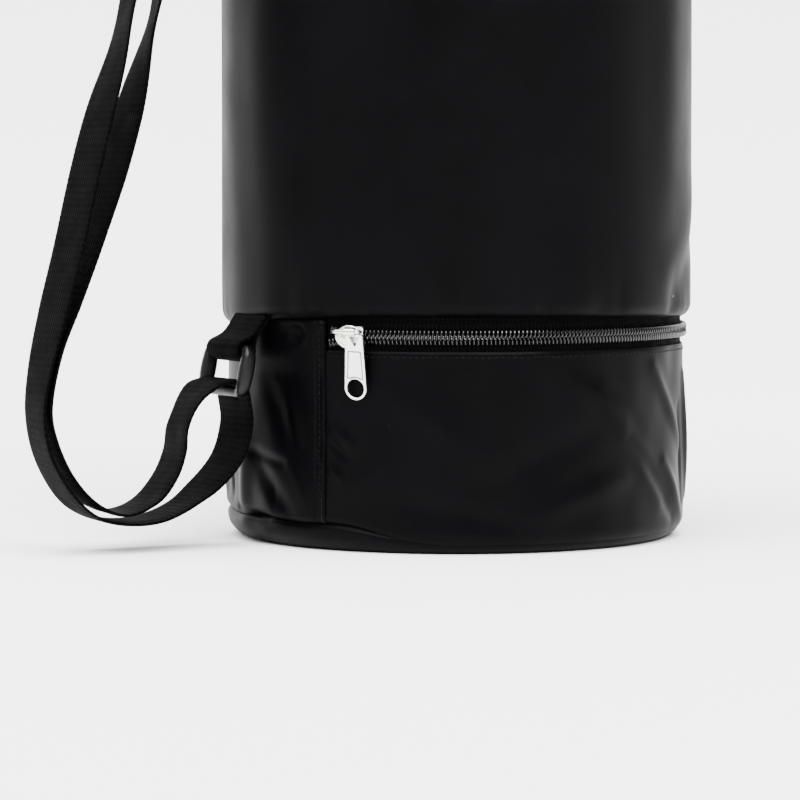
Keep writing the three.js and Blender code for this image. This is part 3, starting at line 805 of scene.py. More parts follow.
def pocket_panel(name, start, end, top, node):
    def radius_at(h, z):
        sides = edge_turn(np.minimum(h - start, end - h), 0.5 * MM, 0.5)
        return pocket_surface(h, z) - edge_turn(top - z, 0.5 * MM, 1.0 * MM) - sides

    return pocket_cloth(name, start, end, top, radius_at, node)


def folded_strip(name, start, end, edge):
    """The folded edge of a panel along a vertical seam; edge is -1 or 1, the side that is folded."""
    def radius_at(h, z):
        across = np.clip((h - start) / (end - start), 0, 1)
        from_fold = 1 - across if edge > 0 else across
        puff = 0.55 * MM * np.exp(-(((from_fold - 0.2) / 0.22) ** 2))
        pinch = 0.16 * MM * np.sin(z * 2.6e3 + 2 * np.sin(z * 310)) * (from_fold < 0.6)
        return pocket_surface(h, z) + puff + pinch - edge_turn(from_fold, 0.8 * MM, 0.16)

    pocket_cloth(name, start, end, POCKET_TOP, radius_at, name)
    z = np.linspace(base_seam(start) + 1.5 * MM, POCKET_TOP - 1.5 * MM, 60)
    h = (end if edge > 0 else start) - edge * 0.62 * (end - start) + 0 * z
    points = around(h, radius_at(h, z) + 0.02 * MM, z)
    stitch_row(f"{name}_stitches", points, outward_at(h), "bag")


def flap_stitches():
    """The topstitching under the folded edge below the chain."""
    h = np.linspace(POCKET_START + 1, POCKET_END - 1, 300)
    z = FLAP_FOLD - 2.0 * MM + 0.12 * MM * np.sin(np.radians(h) * 40)
    points = around(h, pocket_surface(h, z) + 0.03 * MM, z)
    stitch_row("flap_stitches", points, outward_at(h), "bag")


def base_cover():
    """The round base and its rounded edge, up to the seam below the pocket's cloth."""
    headings = ring_headings(480)
    flat_r = np.linspace(0.5 * MM, float(rounded_radius(0.0)), 12)[:-1]
    share = np.linspace(0, 1, 18)
    h, _ = np.meshgrid(headings, np.zeros(len(flat_r) + len(share)), indexing="ij")
    edge_h = h[:, len(flat_r):]
    seam = base_seam(edge_h)
    rise = seam * share
    wrinkle = pocket_relief(edge_h, rise) * ease(share, 0, 0.5)
    turn_in = edge_turn(seam - rise, 1.3 * MM * seam_shows(edge_h), 2.2 * MM)
    edge = rounded_radius(rise) + wrinkle - turn_in
    radius = np.concatenate([np.broadcast_to(flat_r, (len(headings), len(flat_r))), edge], axis=1)
    z = np.concatenate([0 * h[:, :len(flat_r)], rise], axis=1)
    points = around(h, radius, z)
    piece = cloth("base_cover", points, points[:, :, :2], 0.8 * MM, POCKET, closed=True)
    return finish_piece(piece, "bag", "shell_fabric", "base_panel")


# ---------- zips ----------

def tape_strip(name, tape_r, low, high, start, end, body):
    headings = np.linspace(start, end, int((end - start) * 1.2))
    heights = np.linspace(low, high, 7)

    def radius_at(h, z):
        return tape_r + 0.6 * MM + 0.1 * MM * np.sin(np.radians(h) * 60 + z * 400)

    piece = wall(name, headings, heights, radius_at, 0.55 * MM, TAPE)
    return finish_piece(piece, body, "zip_tape", name)


def coil(name, tape_r, chain, side, start, end, body):
    """One half of the chain: a nylon wire coiled round the tape's edge."""
    pitch, per_turn = 1.55 * MM, 12
    deep, tall, wire = 2.2 * MM, 3.3 * MM, 0.36 * MM
    interlock = 0.55 * MM  # how far each half reaches past the chain's middle
    parting, parting_reach = 1.3 * MM, 5.5  # how far a half parts at the start, and over how many degrees
    middle_r = tape_r + COIL_IN + deep / 2
    turns = int(math.radians(end - start) * middle_r / pitch)
    t = np.arange(turns * per_turn + 1) / per_turn
    phase = 2 * np.pi * t
    squared_sin = np.sign(np.sin(phase)) * np.abs(np.sin(phase)) ** 0.75
    advance = t + 0.16 * np.sin(phase) + (0.5 if side > 0 else 0)
    h = start + np.degrees(advance * pitch / middle_r)
    radius = middle_r + (deep / 2 - wire) * squared_sin
    apart = parting * (1 - ease(h, start, start + parting_reach)) * side
    middle_z = chain + side * (tall / 2 - interlock) + apart
    z = middle_z - side * (tall / 2 - wire) * np.cos(phase)
    centres = around(h, radius, z)
    tangents = unit(np.gradient(centres, axis=0))
    out = unit(centres - around(h, middle_r + 0 * h, middle_z))
    out = unit(out - tangents * np.sum(out * tangents, axis=1, keepdims=True))
    piece = sweep(name, centres, np.cross(tangents, out), out, round_section(wire, 6), COIL)
    return finish_piece(piece, body, "zip_coil", name)


def flat_plate(name, outline, holes, depth, rounding, material):
    """A plate with a rounded edge, cut from an outline and holes given as [x, z] points."""
    data = bpy.data.curves.new(name, "CURVE")
    data.dimensions = "2D"
    data.fill_mode = "BOTH"
    data.extrude = depth / 2 - rounding
    data.bevel_depth = rounding
    data.bevel_resolution = 3
    data.offset = -rounding
    for points in [outline, *holes]:
        spline = data.splines.new("POLY")
        spline.points.add(len(points) - 1)
        for target, (x, z) in zip(spline.points, points):
            target.co = (x, z, 0, 1)
        spline.use_cyclic_u = True
    maker = add_object(name + "_maker", data)
    bpy.context.view_layer.update()
    depsgraph = bpy.context.evaluated_depsgraph_get()
    mesh = bpy.data.meshes.new_from_object(maker.evaluated_get(depsgraph))
    bpy.data.objects.remove(maker)
    mesh.name = name
    mesh.transform(Matrix.Rotation(math.radians(90), 4, "X"))
    mesh.materials.clear()
    mesh.materials.append(material)
    piece = add_object(name, mesh)
    weld(piece)
    shade_smooth(mesh, 50)
    return piece


def join_pieces(name, pieces):
    """One object from several closed shells, each keeping its material."""
    bpy.context.view_layer.update()
    materials = []
    work = bmesh.new()
    for piece in pieces:
        material = piece.data.materials[0]
        if material not in materials:
            materials.append(material)
        shape = piece.data.copy()
        shape.transform(piece.matrix_world)
        numbers = [materials.index(material)] * len(shape.polygons)
        shape.polygons.foreach_set("material_index", numbers)
        work.from_mesh(shape)
        bpy.data.meshes.remove(shape)
    mesh = bpy.data.meshes.new(name)
    work.to_mesh(mesh)
    work.free()
    for material in materials:
        mesh.materials.append(material)
    shade_smooth(mesh, 50)
    for piece in pieces:
        bpy.data.objects.remove(piece)
    return add_object(f"{name}_piece", mesh)


def arc_points(x, z, radius, start, end, count):
    angles = np.radians(np.linspace(start, end, count))
    return [(x + radius * math.cos(a), z + radius * math.sin(a)) for a in angles]


def slider_outline(half_length, half_height):
    """A shield's outline, from shares of its half length and half height along the top."""
    shares = [(1, 0.78), (0.55, 0.84), (0.1, 1), (-0.35, 0.94), (-0.75, 0.62), (-1, 0.15)]
    top = smooth_path([(half_length * x, half_height * z) for x, z in shares], 0.25 * MM)
    bottom = [(x, -z) for x, z in top[::-1]]
    return [tuple(p) for p in top] + bottom


def slider(name, tape_r, chain, rod, body):
    """Domed front plate, back plate, post, side flanges and the bridge."""
    face = tape_r + SLIDER_FRONT
    half_length, half_height = 5.65 * MM, 4.3 * MM
    plate, rounding = 1.3 * MM, 0.45 * MM
    outline = slider_outline(half_length, half_height)
    front = flat_plate("front", outline, [], plate, rounding, NICKEL)
    front.location = (0, -(face - plate / 2), chain)
    dome_outline = slider_outline(half_length * 0.8, half_height * 0.72)
    dome = flat_plate("dome", dome_outline, [], 1.2 * MM, 0.5 * MM, NICKEL)
    dome.location = (-0.2 * MM, -face, chain)
    back = flat_plate("back", outline, [], plate, rounding, NICKEL)
    back.location = (0, -(tape_r - 0.95 * MM), chain)

    sideways, outwards, upwards = (1, 0, 0), (0, -1, 0), (0, 0, 1)
    post_path = [(-3.4 * MM, -y, chain) for y in (tape_r - 1 * MM, face - 1 * MM)]
    post_section = soft_section(2.2 * MM, 2.2 * MM, 3)
    post = straight_sweep("post", post_path, sideways, upwards, post_section, NICKEL)
    flanges = []
    for side in (-1, 1):
        path = [(x * MM, -(face - 1.9 * MM), chain + side * 3.5 * MM) for x in (-1.4, 5.0)]
        section = soft_section(0.9 * MM, 2.2 * MM, 4, 12)
        flanges.append(straight_sweep("flange", path, upwards, outwards, section, NICKEL))

    rod_r = math.hypot(rod[0], rod[1])
    foot = -(face - 0.4 * MM)
    reach, bend, drop = 4.9 * MM, 0.8 * MM, 0.9 * MM
    arch = smooth_path([
        (-reach - 0.3 * MM, foot, rod[2]),
        (-reach, -rod_r + drop, rod[2]),
        (-reach + bend, -rod_r, rod[2]),
        (0, -rod_r, rod[2]),
        (reach - bend, -rod_r, rod[2]),
        (reach, -rod_r + drop, rod[2]),
        (reach + 0.1 * MM, foot, rod[2]),
    ], 0.25 * MM)
    ups = np.tile([0.0, 0.0, 1.0], (len(arch), 1))
    outs = np.cross(unit(np.gradient(arch, axis=0)), ups)
    bridge = sweep("bridge", arch, ups, outs, soft_section(1.5 * MM, 1.1 * MM, 3, 14), NICKEL)

    piece = join_pieces(name, [front, dome, back, post, *flanges, bridge])
    piece.matrix_world = Matrix.Rotation(math.radians(heading_of(name)), 4, "Z")
    bpy.context.view_layer.update()
    return finish_piece(piece, body, "nickel", name)


def pull(name, joint, body):
    """A flat tab with a raised rim, a window by the bridge, a round hole and a rolled top."""
    top, end = 3.45 * MM, 4.35 * MM  # half widths at the two ends
    length = 25.2 * MM
    end_z = -length + end
    roll_r, roll_hole_r, half_roll = 1.65 * MM, 1.08 * MM, 2.1 * MM
    outline = [(0.4 * MM, 0.9 * MM), (0.5 * MM, -1.0 * MM), (top - 0.5 * MM, -1.0 * MM), (top, -1.6 * MM)]
    outline += arc_points(0, end_z, end, 360, 180, 25)
    outline += [(-top, -1.5 * MM), (-2.9 * MM, 0.9 * MM)]
    hole = arc_points(0, end_z, 3.45 * MM, 360, 0, 33)[:-1]
    window = [(-2.0, -1.7), (-0.5, -5.0), (0, -5.3), (0.6, -5.0), (2.1, -1.7)]
    window = [(x * MM, z * MM) for x, z in window]
    # The plate carries the darker nickel, as painted shade in the grooves and at the hole and window edges.
    plate = flat_plate("plate", outline, [hole, window], 0.9 * MM, 0.3 * MM, GROOVE_SHADE_NICKEL)

    def panel(inset):
        """The raised field between the window and the hole, or the groove round it."""
        upper, lower = -7.0 * MM - inset, end_z + 3.5 * MM + inset
        top_x, low_x = top - 0.75 * MM - inset, end - 1.05 * MM - inset
        arc = arc_points(0, end_z, 3.95 * MM + inset, 118, 62, 13)
        return [(-top_x, upper), (-low_x, lower), *arc, (low_x, lower), (top_x, upper)]

    rim = flat_plate("rim", outline, [hole, window, panel(0)], 1.3 * MM, 0.2 * MM, NICKEL)
    field = flat_plate("field", panel(0.42 * MM), [], 1.2 * MM, 0.15 * MM, NICKEL)
    roll_path = [(x, 0, 0) for x in np.linspace(-half_roll, half_roll, 9)]
    knuckle = hollow_roll("knuckle", roll_path, round_section(roll_r, 20), round_section(roll_hole_r, 20))

    askew = Matrix.Translation((1.7 * MM, 0, 0)) @ Matrix.Rotation(math.radians(3), 4, "Y")
    for part in (plate, rim, field):
        part.matrix_world = askew
    piece = join_pieces(name, [plate, rim, field, knuckle])
    rod = Vector(joint["pos_m"])
    rod_r = math.hypot(rod.x, rod.y)
    wall_r = POCKET_R if body == "pocket_pull" else BODY_R
    half_plate, clearance = 0.65 * MM, 0.5 * MM
    lean = math.asin((rod_r - half_plate - wall_r - clearance) / length)
    heading = math.degrees(math.atan2(rod.x, -rod.y))
    piece.matrix_world = (
        Matrix.Rotation(math.radians(heading), 4, "Z")
        @ Matrix.Translation((half_roll, -rod_r, rod.z))
        @ Matrix.Rotation(lean, 4, "X")
    )
    bpy.context.view_layer.update()
    return finish_piece(piece, body, "nickel", name)


def hollow_roll(name, path, outer, inner):
    """A short tube along X with a wall between two outlines."""
    path = np.asarray(path, float)
    count, sides = len(path), len(outer)
    rows = []
    for ring in (outer, inner):
        for x, _, _ in path:
            rows.append(np.stack([x + 0 * ring[:, 0], ring[:, 0], ring[:, 1]], axis=1))
    vertices = np.concatenate(rows)
    faces = list(grid_faces(count, sides, False))
    faces += list(grid_faces(count, sides, False, count * sides, flip=True))
    index = np.arange(2 * count * sides).reshape(2, count, sides)
    for side in (0, 1):
        faces += rim_faces(index[side, :, -1], index[side, :, 0], False)
    faces += rim_faces(index[0, 0], index[1, 0], True)
    faces += rim_faces(index[0, -1], index[1, -1], True)
    piece = make_object(name, vertices, faces, None, NICKEL)
    face_outwards(piece)
    return piece


def zip_stop(name, tape_r, chain, heading, body):
    outward = outward_at(np.float64(heading))
    sideways = np.cross([0.0, 0.0, 1.0], outward)
    r = tape_r + COIL_IN + 1.1 * MM
    path = [outward * r + np.array([0, 0, chain + z * MM]) for z in (-2.7, -2.3, 0, 2.3, 2.7)]
    sizes = np.array([0.7, 1, 1.05, 1, 0.7])[:, None, None]
    section = soft_section(1.6 * MM, 2.2 * MM, 3, 14)[None] * sizes
    piece = straight_sweep(name, path, sideways, outward, section, NICKEL)
    return finish_piece(piece, body, "nickel", name)


# ---------- strap ----------

# routes as [radius, height] in millimetres
STRAP_ROUTE = [
    [101.6, 344], [110.6, 310], [120.9, 270], [131.2, 231], [138.6, 202], [143.4, 182], [150.2, 161],
    [156.6, 138], [163.2, 111], [169.4, 88.5], [174.8, 67], [176.7, 51], [173.7, 36], [165.5, 22],
    [156, 14], [143, 10.8], [128.5, 12], [113.5, 19], [100, 31.5], [95.2, 44.5], [95.9, 54], [97.4, 59.8],
    [100.6, 61.8], [104.6, 61.4], [109.5, 59.6], [115, 54], [119.5, 45], [120.8, 36], [125, 26.5],
    [133, 18], [145, 14.4], [157, 19.4], [166, 29.5], [172, 43], [174, 55], [170.8, 74], [164.2, 91],
    [158.2, 106], [152, 122], [146, 138], [139, 160],
]
END_STRAND_ROUTE = [[139, 160], [132.5, 183], [127, 202], [121.6, 230], [117.6, 253]]
SEWN_BACK = [[107.25, 309.6], [102.9, 327], [98.6, 341.6]]  # the strap's end, sewn back inside it
STRAP_WIDTH, STRAP_THICKNESS = 25 * MM, 1.5 * MM
OUTWARD = outward_at(np.float64(STRAP_HEADING))
UP = np.array([0.0, 0.0, 1.0])
ACROSS = np.cross(OUTWARD, UP)


def in_metres(route):
    return [(r * MM, z * MM) for r, z in route]


def swing_radius():
    """The distance from the bag's axis to the line that the strap swings about."""
    x, y, _ = joints["strap_swing"]["pos_m"]
    return math.hypot(x, y)


def strap_point(radius, height):
    return OUTWARD * radius + UP * height


def ring_bar(node, side):
    """The middle of a leaning ring's upper (1) or lower (-1) bar, as (radius, height)."""
    low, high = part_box(node)
    middle = (low.z + high.z) / 2
    reach = side * RING_REACH
    return swing_radius() - reach * math.sin(RING_LEAN), middle + reach * math.cos(RING_LEAN)


def webbing_section(width, thickness, count=12):
    """A flat band, a little thinner at its woven edges."""
    x = np.linspace(-1, 1, count)
    thin = thickness / 2 * (1 - 0.35 * np.abs(x) ** 8)
    top = np.stack([x * width / 2, thin], axis=1)
    bottom = np.stack([x[::-1] * width / 2, -thin[::-1]], axis=1)
    return np.concatenate([top, bottom])


def ribbon(name, route, width, thickness, material, step=0.55 * MM, twisted=False):
    """Webbing along a route of (radius, height) in the strap's plane, with a looped woven edge."""
    path = smooth_path(route, step)
    centres = np.array([strap_point(r, z) for r, z in path])
    tangents = unit(np.gradient(centres, axis=0))
    sides = np.tile(ACROSS, (len(centres), 1))
    ups = unit(np.cross(tangents, sides))
    if twisted:
        angle = np.radians(strap_twist(path, tangents[:, 2]))[:, None]
        cosine, sine = np.cos(angle), np.sin(angle)
        sides, ups = sides * cosine + ups * sine, ups * cosine - sides * sine
    run = np.arange(len(path)) * step
    scallop = 0.22 * MM * np.abs(np.sin(np.pi * run / (2.3 * MM)))
    section = webbing_section(width, thickness)
    grow = 1 + (2 * scallop / width)[:, None] * (np.abs(section[:, 0]) > 0.44 * width)
    sections = np.repeat(section[None], len(path), axis=0)
    sections[:, :, 0] *= grow
    return sweep(name, centres, sides, ups, sections, material)


def strap_twist(path, climb):
    """Degrees by which the free strands turn edge-on: high up, and again at the bend below."""
    r, z = path[:, 0], path[:, 1]
    high = np.where(climb > 0, 19, 13) * np.exp(-(((z - 196 * MM) / (24 * MM)) ** 2))
    low = 9 * np.exp(-(((z - 46 * MM) / (30 * MM)) ** 2)) * ease(r, 108 * MM, 118 * MM)
    return -(high + low) * np.clip(climb * 2.5, -1, 1)


def bar_loop(bar, start, end, radius, count=15):
    """Points on an arc round a bar, by angle in degrees from outwards."""
    angles = np.radians(np.linspace(start, end, count))
    return [(bar[0] + radius * math.cos(a), bar[1] + radius * math.sin(a)) for a in angles]


def shoulder_strap():
    loop = bar_loop(ring_bar("upper_ring", -1), start=195, end=15, radius=3.7 * MM)
    route = in_metres(SEWN_BACK) + loop + in_metres(STRAP_ROUTE[1:])
    piece = ribbon("shoulder_strap", route, STRAP_WIDTH, STRAP_THICKNESS, WEBBING, twisted=True)
    return finish_piece(piece, "strap_loop", "webbing", "shoulder_strap")


def strap_end():
    """The end strand, from the strap up and round the adjuster's inner bar."""
    radius, height = GLIDE_CENTRE
    inner_bar = (
        radius - GLIDE_BAR_IN * math.cos(STRAP_SLOPE),
        height - GLIDE_BAR_IN * math.sin(STRAP_SLOPE),
    )
    route = in_metres(END_STRAND_ROUTE)
    loop = bar_loop(inner_bar, start=195, end=-70, radius=2.1 * MM, count=17)
    piece = ribbon("strap_end", route + loop, STRAP_WIDTH, STRAP_THICKNESS, WEBBING, twisted=True)
    return finish_blended(piece, "strap_end")


def anchor(name, ring, seam):
    """Doubled webbing from a point on the seam round the ring's upper bar."""
    bar, seam = np.array(ring_bar(ring, 1)), np.array(seam)
    away = seam - bar
    angle = math.degrees(math.atan2(away[1], away[0]))
    away = away / np.linalg.norm(away)
    half_gap = np.array([-away[1], away[0]]) * 0.78 * MM
    neck = bar + away * 7 * MM  # where the two layers meet above the bar
    loop = bar_loop(bar, start=angle - 62, end=angle - 298, radius=3.65 * MM, count=17)
    route = [seam - half_gap, neck - half_gap, *loop, neck + half_gap, seam + half_gap]
    piece = ribbon(name, route, 24 * MM, 1.4 * MM, WEBBING, step=0.5 * MM)
    return finish_blended(piece, name)


def rectangular_ring(name):
    """A moulded ring: round bars between thicker, rounded end rails."""
    low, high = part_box(name)
    centre = strap_point(swing_radius(), (low.z + high.z) / 2)
    rise = UP * math.cos(RING_LEAN) - OUTWARD * math.sin(RING_LEAN)
    face = np.cross(ACROSS, rise)
    half_x, half_y, corner = 15.2 * MM, RING_REACH, 2.4 * MM
    outline = []
    for x, y, start in ((1, 1, 0), (-1, 1, 90), (-1, -1, 180), (1, -1, 270)):
        corner_x, corner_y = x * (half_x - corner), y * (half_y - corner)
        outline += arc_points(corner_x, corner_y, corner, start, start + 90, 7)
    outline = refine_closed(np.array(outline), 0.8 * MM)
    centres = centre + outline[:, 0:1] * ACROSS + outline[:, 1:2] * rise
    tangents = unit(np.roll(centres, -1, axis=0) - np.roll(centres, 1, axis=0))
    sides = unit(np.cross(tangents, face))
    ups = np.tile(face, (len(centres), 1))
    rail_starts, rail_blend = 12.6 * MM, 2.2 * MM
    rail = np.clip((np.abs(outline[:, 0]) - rail_starts) / rail_blend, 0, 1)[:, None, None]
    swell = 1 + 0.25 * np.cos(np.clip(outline[:, 1] / half_y, -1, 1) * np.pi / 2)[:, None, None]
    thin = soft_section(3.9 * MM, 3.4 * MM, 2.6)[None]
    thick = soft_section(3.7 * MM, 4.6 * MM, 3.2)[None] * swell
    sections = thin * (1 - rail) + thick * rail
    piece = sweep(name, centres, sides, ups, sections, PLASTIC, closed=True)
    return finish_piece(piece, "strap_loop", "black_plastic", name)


def refine_closed(points, step):
    loop = np.vstack([points, points[:1]])
    run = run_along(loop)
    marks = np.linspace(0, run[-1], int(run[-1] / step), endpoint=False)
    return np.stack([np.interp(marks, run, loop[:, k]) for k in range(2)], axis=1)


def tri_glide():
    """Two side rails, two end bars outside the strap and a round bar inside it."""
    along = UP * math.cos(STRAP_SLOPE) - OUTWARD * math.sin(STRAP_SLOPE)
    out = OUTWARD * math.cos(STRAP_SLOPE) + UP * math.sin(STRAP_SLOPE)
    centre = strap_point(*GLIDE_CENTRE)
    rail_x, half_rail, end_bar_y = 14.5 * MM, 10.6 * MM, 9.2 * MM
    rail_back, end_bar_out = 1.1 * MM, 2.2 * MM
    stations = np.linspace(-1, 1, 15)
    rounded_ends = np.sqrt(np.clip(1.06 - stations**8, 0.1, 1))[:, None, None]
    rail_section = soft_section(3.2 * MM, 8.4 * MM, 4, 18)[None] * rounded_ends
    end_section = soft_section(3.2 * MM, 1.9 * MM, 3, 16)

    def bar_path(middle):
        return [middle + ACROSS * x * rail_x for x in (-1, 0, 1)]

    parts = []
    for side in (-1, 1):
        middle = centre + ACROSS * side * rail_x - out * rail_back
        path = [middle + along * s * half_rail for s in stations]
        parts.append(straight_sweep("rail", path, ACROSS, out, rail_section, PLASTIC))
    for side in (-1, 1):
        path = bar_path(centre + along * side * end_bar_y + out * end_bar_out)
        parts.append(straight_sweep("end_bar", path, along, out, end_section, PLASTIC))
    path = bar_path(centre - out * GLIDE_BAR_IN)
    parts.append(straight_sweep("inner_bar", path, along, out, round_section(1.0 * MM, 14), PLASTIC))
    piece = join_pieces("tri_glide", parts)
    return finish_piece(piece, "glide", "black_plastic", "tri_glide")


# ---------- inside and lid ----------

RING_HEADINGS = ring_headings(300)


def rounded_profile(inner, outer, low, high, corner, count=5):
    """A rectangle's outline with rounded corners, anticlockwise."""
    left, right, bottom, top = inner + corner, outer - corner, low + corner, high - corner
    points = []
    for r, z, start in ((right, bottom, -90), (right, top, 0), (left, top, 90), (left, bottom, 180)):
        points += arc_points(r, z, corner, start, start + 90, count)
    return points


def rim_binding():
    low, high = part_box("rim_binding")
    outer = half_width("rim_binding")
    profile = rounded_profile(83.2 * MM, outer, low.z, high.z, 0.8 * MM)

    def offset_at(h, radius, height):
        ribs = 0.12 * MM * np.sin(np.radians(h) * 90)
        return radius + ribs * (radius > 88 * MM), height

    piece = revolved("rim_binding", profile, RING_HEADINGS, BINDING, offset_at, closed_profile=True)
    return finish_piece(piece, "bag", "zip_tape", "rim_binding")


def inner_lining():
    low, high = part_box("main_lining")
    outer = half_width("main_lining")
    heights = np.linspace(low.z, high.z, 90)

    def radius_at(h, z):
        return outer + ripple(h, z * 0.6, seed=31, size=0.7 * MM) - 0.35 * MM

    piece = wall("inner_lining", RING_HEADINGS, heights, radius_at, 0.5 * MM, LINING, closed=True)
    return finish_piece(piece, "bag", "lining_fabric", "main_lining")


def floor_pad():
    """The padded floor: crowned between two rings of quilting and dipped at its edge."""
    low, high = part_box("divider_floor")
    outer = half_width("divider_floor")
    radii = np.linspace(outer, 0, 60)
    crown = 1.0 * MM * np.abs(np.sin(np.pi * radii / outer * 3)) ** 0.6 - 1.0 * MM
    edge = -1.6 * MM * np.clip((radii - (outer - 2.5 * MM)) / (2.5 * MM), 0, 1) ** 2
    top = [(r, high.z + c + e) for r, c, e in zip(radii, crown, edge)]
    profile = [(0.0, low.z), (outer - 1 * MM, low.z), (outer, low.z + 1 * MM), *top]
    piece = revolved("floor_pad", profile, RING_HEADINGS, LINING, flat=True)
    return finish_piece(piece, "bag", "lining_fabric", "divider_floor")


def tie_in_loop():
    low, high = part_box("rope_tie_in_loop")
    middle_y = (low.y + high.y) / 2
    half = 9.2 * MM
    leg = [low.z + rise * MM for rise in (0.2, 4, 9)]
    path = [(-half, z) for z in leg]
    path += arc_points(0, low.z + 10 * MM, half, 180, 0, 15)[1:-1]
    path += [(half, z) for z in leg[::-1]]
    line = smooth_path(path, 0.5 * MM)
    centres = np.stack([line[:, 0], middle_y + 0 * line[:, 0], line[:, 1]], axis=1)
    tangents = unit(np.gradient(centres, axis=0))
    sides = np.tile([0.0, 1.0, 0.0], (len(centres), 1))
    section = webbing_section(18 * MM, 1.4 * MM)
    piece = sweep("tie_in_loop", centres, sides, np.cross(tangents, sides), section, WEBBING)
    return finish_piece(piece, "bag", "webbing", "rope_tie_in_loop")


def lid_top():
    """The padded lid top, crowned and drawn in at its edge seam."""
    low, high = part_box("lid_top_panel")
    outer = half_width("lid_top_panel")
    radii = np.linspace(outer, 0, 70)
    crown = (high.z - low.z - 0.9 * MM) * (1 - (radii / outer) ** 2.4)
    top = [(r, low.z + 0.9 * MM + c) for r, c in zip(radii, crown)]
    profile = [(0.0, low.z), (outer, low.z), *top]

    def offset_at(h, radius, height):
        upper = height > low.z + 0.5 * MM
        share = np.clip(radius / outer, 0, 1)
        soft = ripple(h, 0.05 + 0.05 * share, seed=41, size=0.6 * MM) * share**3 * (1 - share**6)
        return radius, height + soft * upper * 0.8

    piece = revolved("lid_top", profile, RING_HEADINGS, SHELL, offset_at, flat=True)
    return finish_piece(piece, "lid", "shell_fabric", "lid_top_panel")


def lid_piping():
    low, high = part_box("lid_piping")
    radius = (high.z - low.z) / 2
    middle_r = half_width("lid_piping") - radius
    middle_z = (low.z + high.z) / 2
    profile = arc_points(middle_r, middle_z, radius, 0, 345, 24)

    def offset_at(h, r, z):
        swell = 1 + 0.05 * np.sin(np.radians(h) * 150)
        return middle_r + (r - middle_r) * swell, middle_z + (z - middle_z) * swell

    piece = revolved("lid_piping", profile, ring_headings(720), POCKET, offset_at, closed_profile=True)
    return finish_piece(piece, "lid", "shell_fabric", "lid_piping")


def lid_band():
    low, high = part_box("lid_side_band")
    outer = half_width("lid_side_band")
    heights = np.linspace(low.z, high.z, 14)

    def radius_at(h, z):
        bulge = 0.5 * MM * np.sin(np.pi * (z - low.z) / (high.z - low.z))
        return outer - 0.35 * MM + bulge + ripple(h, z, seed=51, size=0.6 * MM)

    piece = wall("lid_band", RING_HEADINGS, heights, radius_at, 0.7 * MM, SHELL, closed=True)
    finish_piece(piece, "lid", "shell_fabric", "lid_side_band")
    h = np.linspace(-180, 180, 720)
    z = low.z + 1.6 * MM + 0 * h
    points = around(h, radius_at(h, z) + 0.05 * MM, z)
    stitch_row("lid_band_stitches", points, outward_at(h), "lid")


def lid_lining():
    low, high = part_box("lid_lining")
    outer = half_width("lid_lining")
    radii = np.linspace(0, outer, 50)
    sag = [(r, low.z + 0.15 * MM * math.sin(r * 220)) for r in radii]
    profile = [*sag, (outer, high.z), (0.0, high.z)]
    piece = revolved("lid_lining", profile, RING_HEADINGS, LINING, flat=True)
    return finish_piece(piece, "lid", "lining_fabric", "lid_lining")


def hinge_tape():
    low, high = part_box("lid_hinge_tape")
    headings = np.linspace(LID_REACH + 0.4, 360 - LID_REACH - 0.4, 90)
    heights = np.linspace(low.z, high.z, 30)

    def radius_at(h, z):
        bulge = 0.175 * MM * np.sin(np.pi * (z - low.z) / (high.z - low.z))
        return LID_TAPE_R + 0.6 * MM + bulge

    piece = wall("lid_hinge_tape", headings, heights, radius_at, 0.6 * MM, BINDING)
    return finish_blended(piece, "lid_hinge_tape")


def dress_hidden_nodes():
    """The CAD solids that stay: padding and stiffener inside the cloth."""
    for node, material in (("main_foam", FOAM), ("lid_foam", FOAM), ("base_board", BOARD)):
        frame["nodes"][node].data.materials.clear()
        frame["nodes"][node].data.materials.append(material)


# ---------- the bag ----------

def build_zip(prefix, tape_r, chain, start, end, upper_body_name, edge):
    """Both tapes, both halves of the chain and the end stop; all but the upper half stay on the bag."""
    near, far = 0.1 * MM, 5.6 * MM
    upper, lower = ("upper", 1, upper_body_name), ("lower", -1, "bag")
    for half, side, body in (upper, lower):
        low, high = sorted((chain + side * near, chain + side * far))
        tape_strip(f"{prefix}_tape_{half}", tape_r, low, high, start, end, body)
    for half, side, body in (upper, lower):
        coil(f"{prefix}_coil_{half}", tape_r, chain, side, start + edge, end - 2, body)
    zip_stop(f"{prefix}_stop", tape_r, chain, end - 1, "bag")


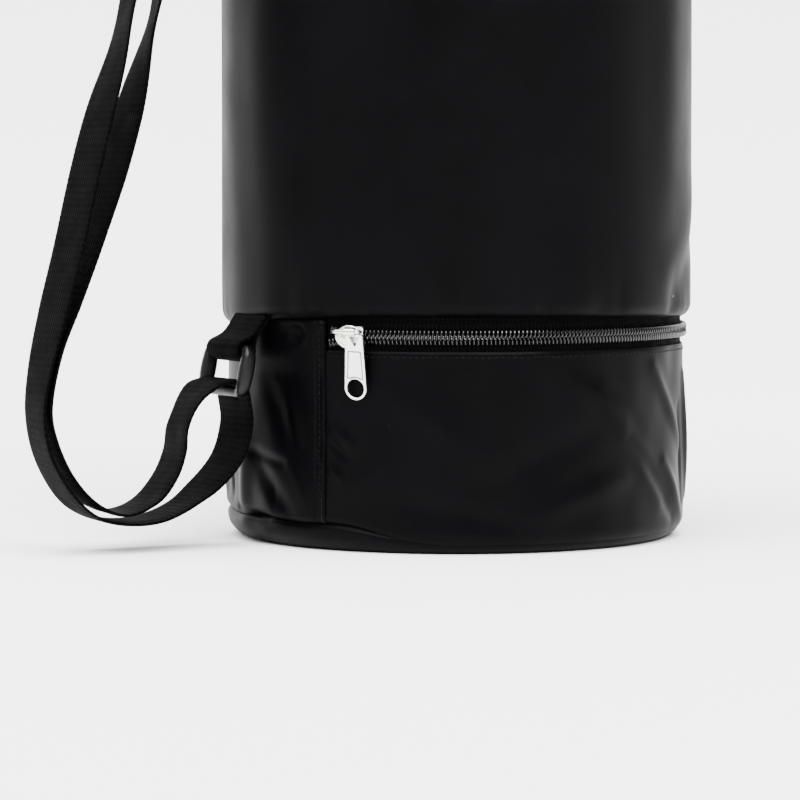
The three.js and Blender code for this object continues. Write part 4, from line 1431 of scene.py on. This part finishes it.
add_camera()
add_world()
add_floor()
add_sun("sky", location=(-0.3, -1.0, 2.4), strength=12.0, spread=75)
add_area_light("overhead", location=(0.0, 0.1, 2.4), target=(0, 0, 0), size=(1.6, 1.6), power=40)
add_area_light("key", location=(0.9, -1.7, 1.5), target=(0, 0, 0.1), size=(1.0, 1.0), power=55)
add_area_light("left_strip", location=(-1.4, -0.6, 0.6), target=(0, 0, 0.1), size=(0.4, 1.4), power=7)
add_area_light("right_strip", location=(1.3, -0.1, 0.6), target=(0, 0, 0.1), size=(0.3, 1.4), power=5)

upper_body()
back_seam_stitches()
seam_groove()
pocket_panel("pocket_front", POCKET_START - LAP, POCKET_END + LAP, FLAP_FOLD, "pocket_front_panel")
side_start, side_end = POCKET_END + PLACKET_SPAN - LAP, 360 + POCKET_START - PLACKET_SPAN + LAP
pocket_panel("pocket_side", side_start, side_end, POCKET_TOP, "pocket_back_panel")
folded_strip("placket_left", POCKET_START - PLACKET_SPAN, POCKET_START + 0.1, 1)
folded_strip("placket_right", POCKET_END - 0.1, POCKET_END + PLACKET_SPAN, -1)
flap_stitches()
base_cover()
build_zip("pocket_zip", POCKET_TAPE_R, POCKET_CHAIN, POCKET_START + 0.4, POCKET_END - 0.4, "bag", 1.0)
build_zip("lid_zip", LID_TAPE_R, LID_CHAIN, -LID_REACH, LID_REACH, "lid", 1.4)
for zip_name, tape_r, chain in (("pocket", POCKET_TAPE_R, POCKET_CHAIN), ("lid", LID_TAPE_R, LID_CHAIN)):
    lift = joints[f"{zip_name}_pull_lift"]
    slider(f"{zip_name}_zip_slider", tape_r, chain, lift["pos_m"], f"{zip_name}_slider")
    pull(f"{zip_name}_zip_pull", lift, f"{zip_name}_pull")
shoulder_strap()
strap_end()
anchor("lower_anchor_webbing", "lower_ring", (88.2 * MM, 85.2 * MM))
anchor("upper_anchor_webbing", "upper_ring", (91.6 * MM, 373.0 * MM))
rectangular_ring("lower_ring")
rectangular_ring("upper_ring")
tri_glide()
rim_binding()
inner_lining()
floor_pad()
tie_in_loop()
lid_top()
lid_piping()
lid_band()
lid_lining()
hinge_tape()
dress_hidden_nodes()
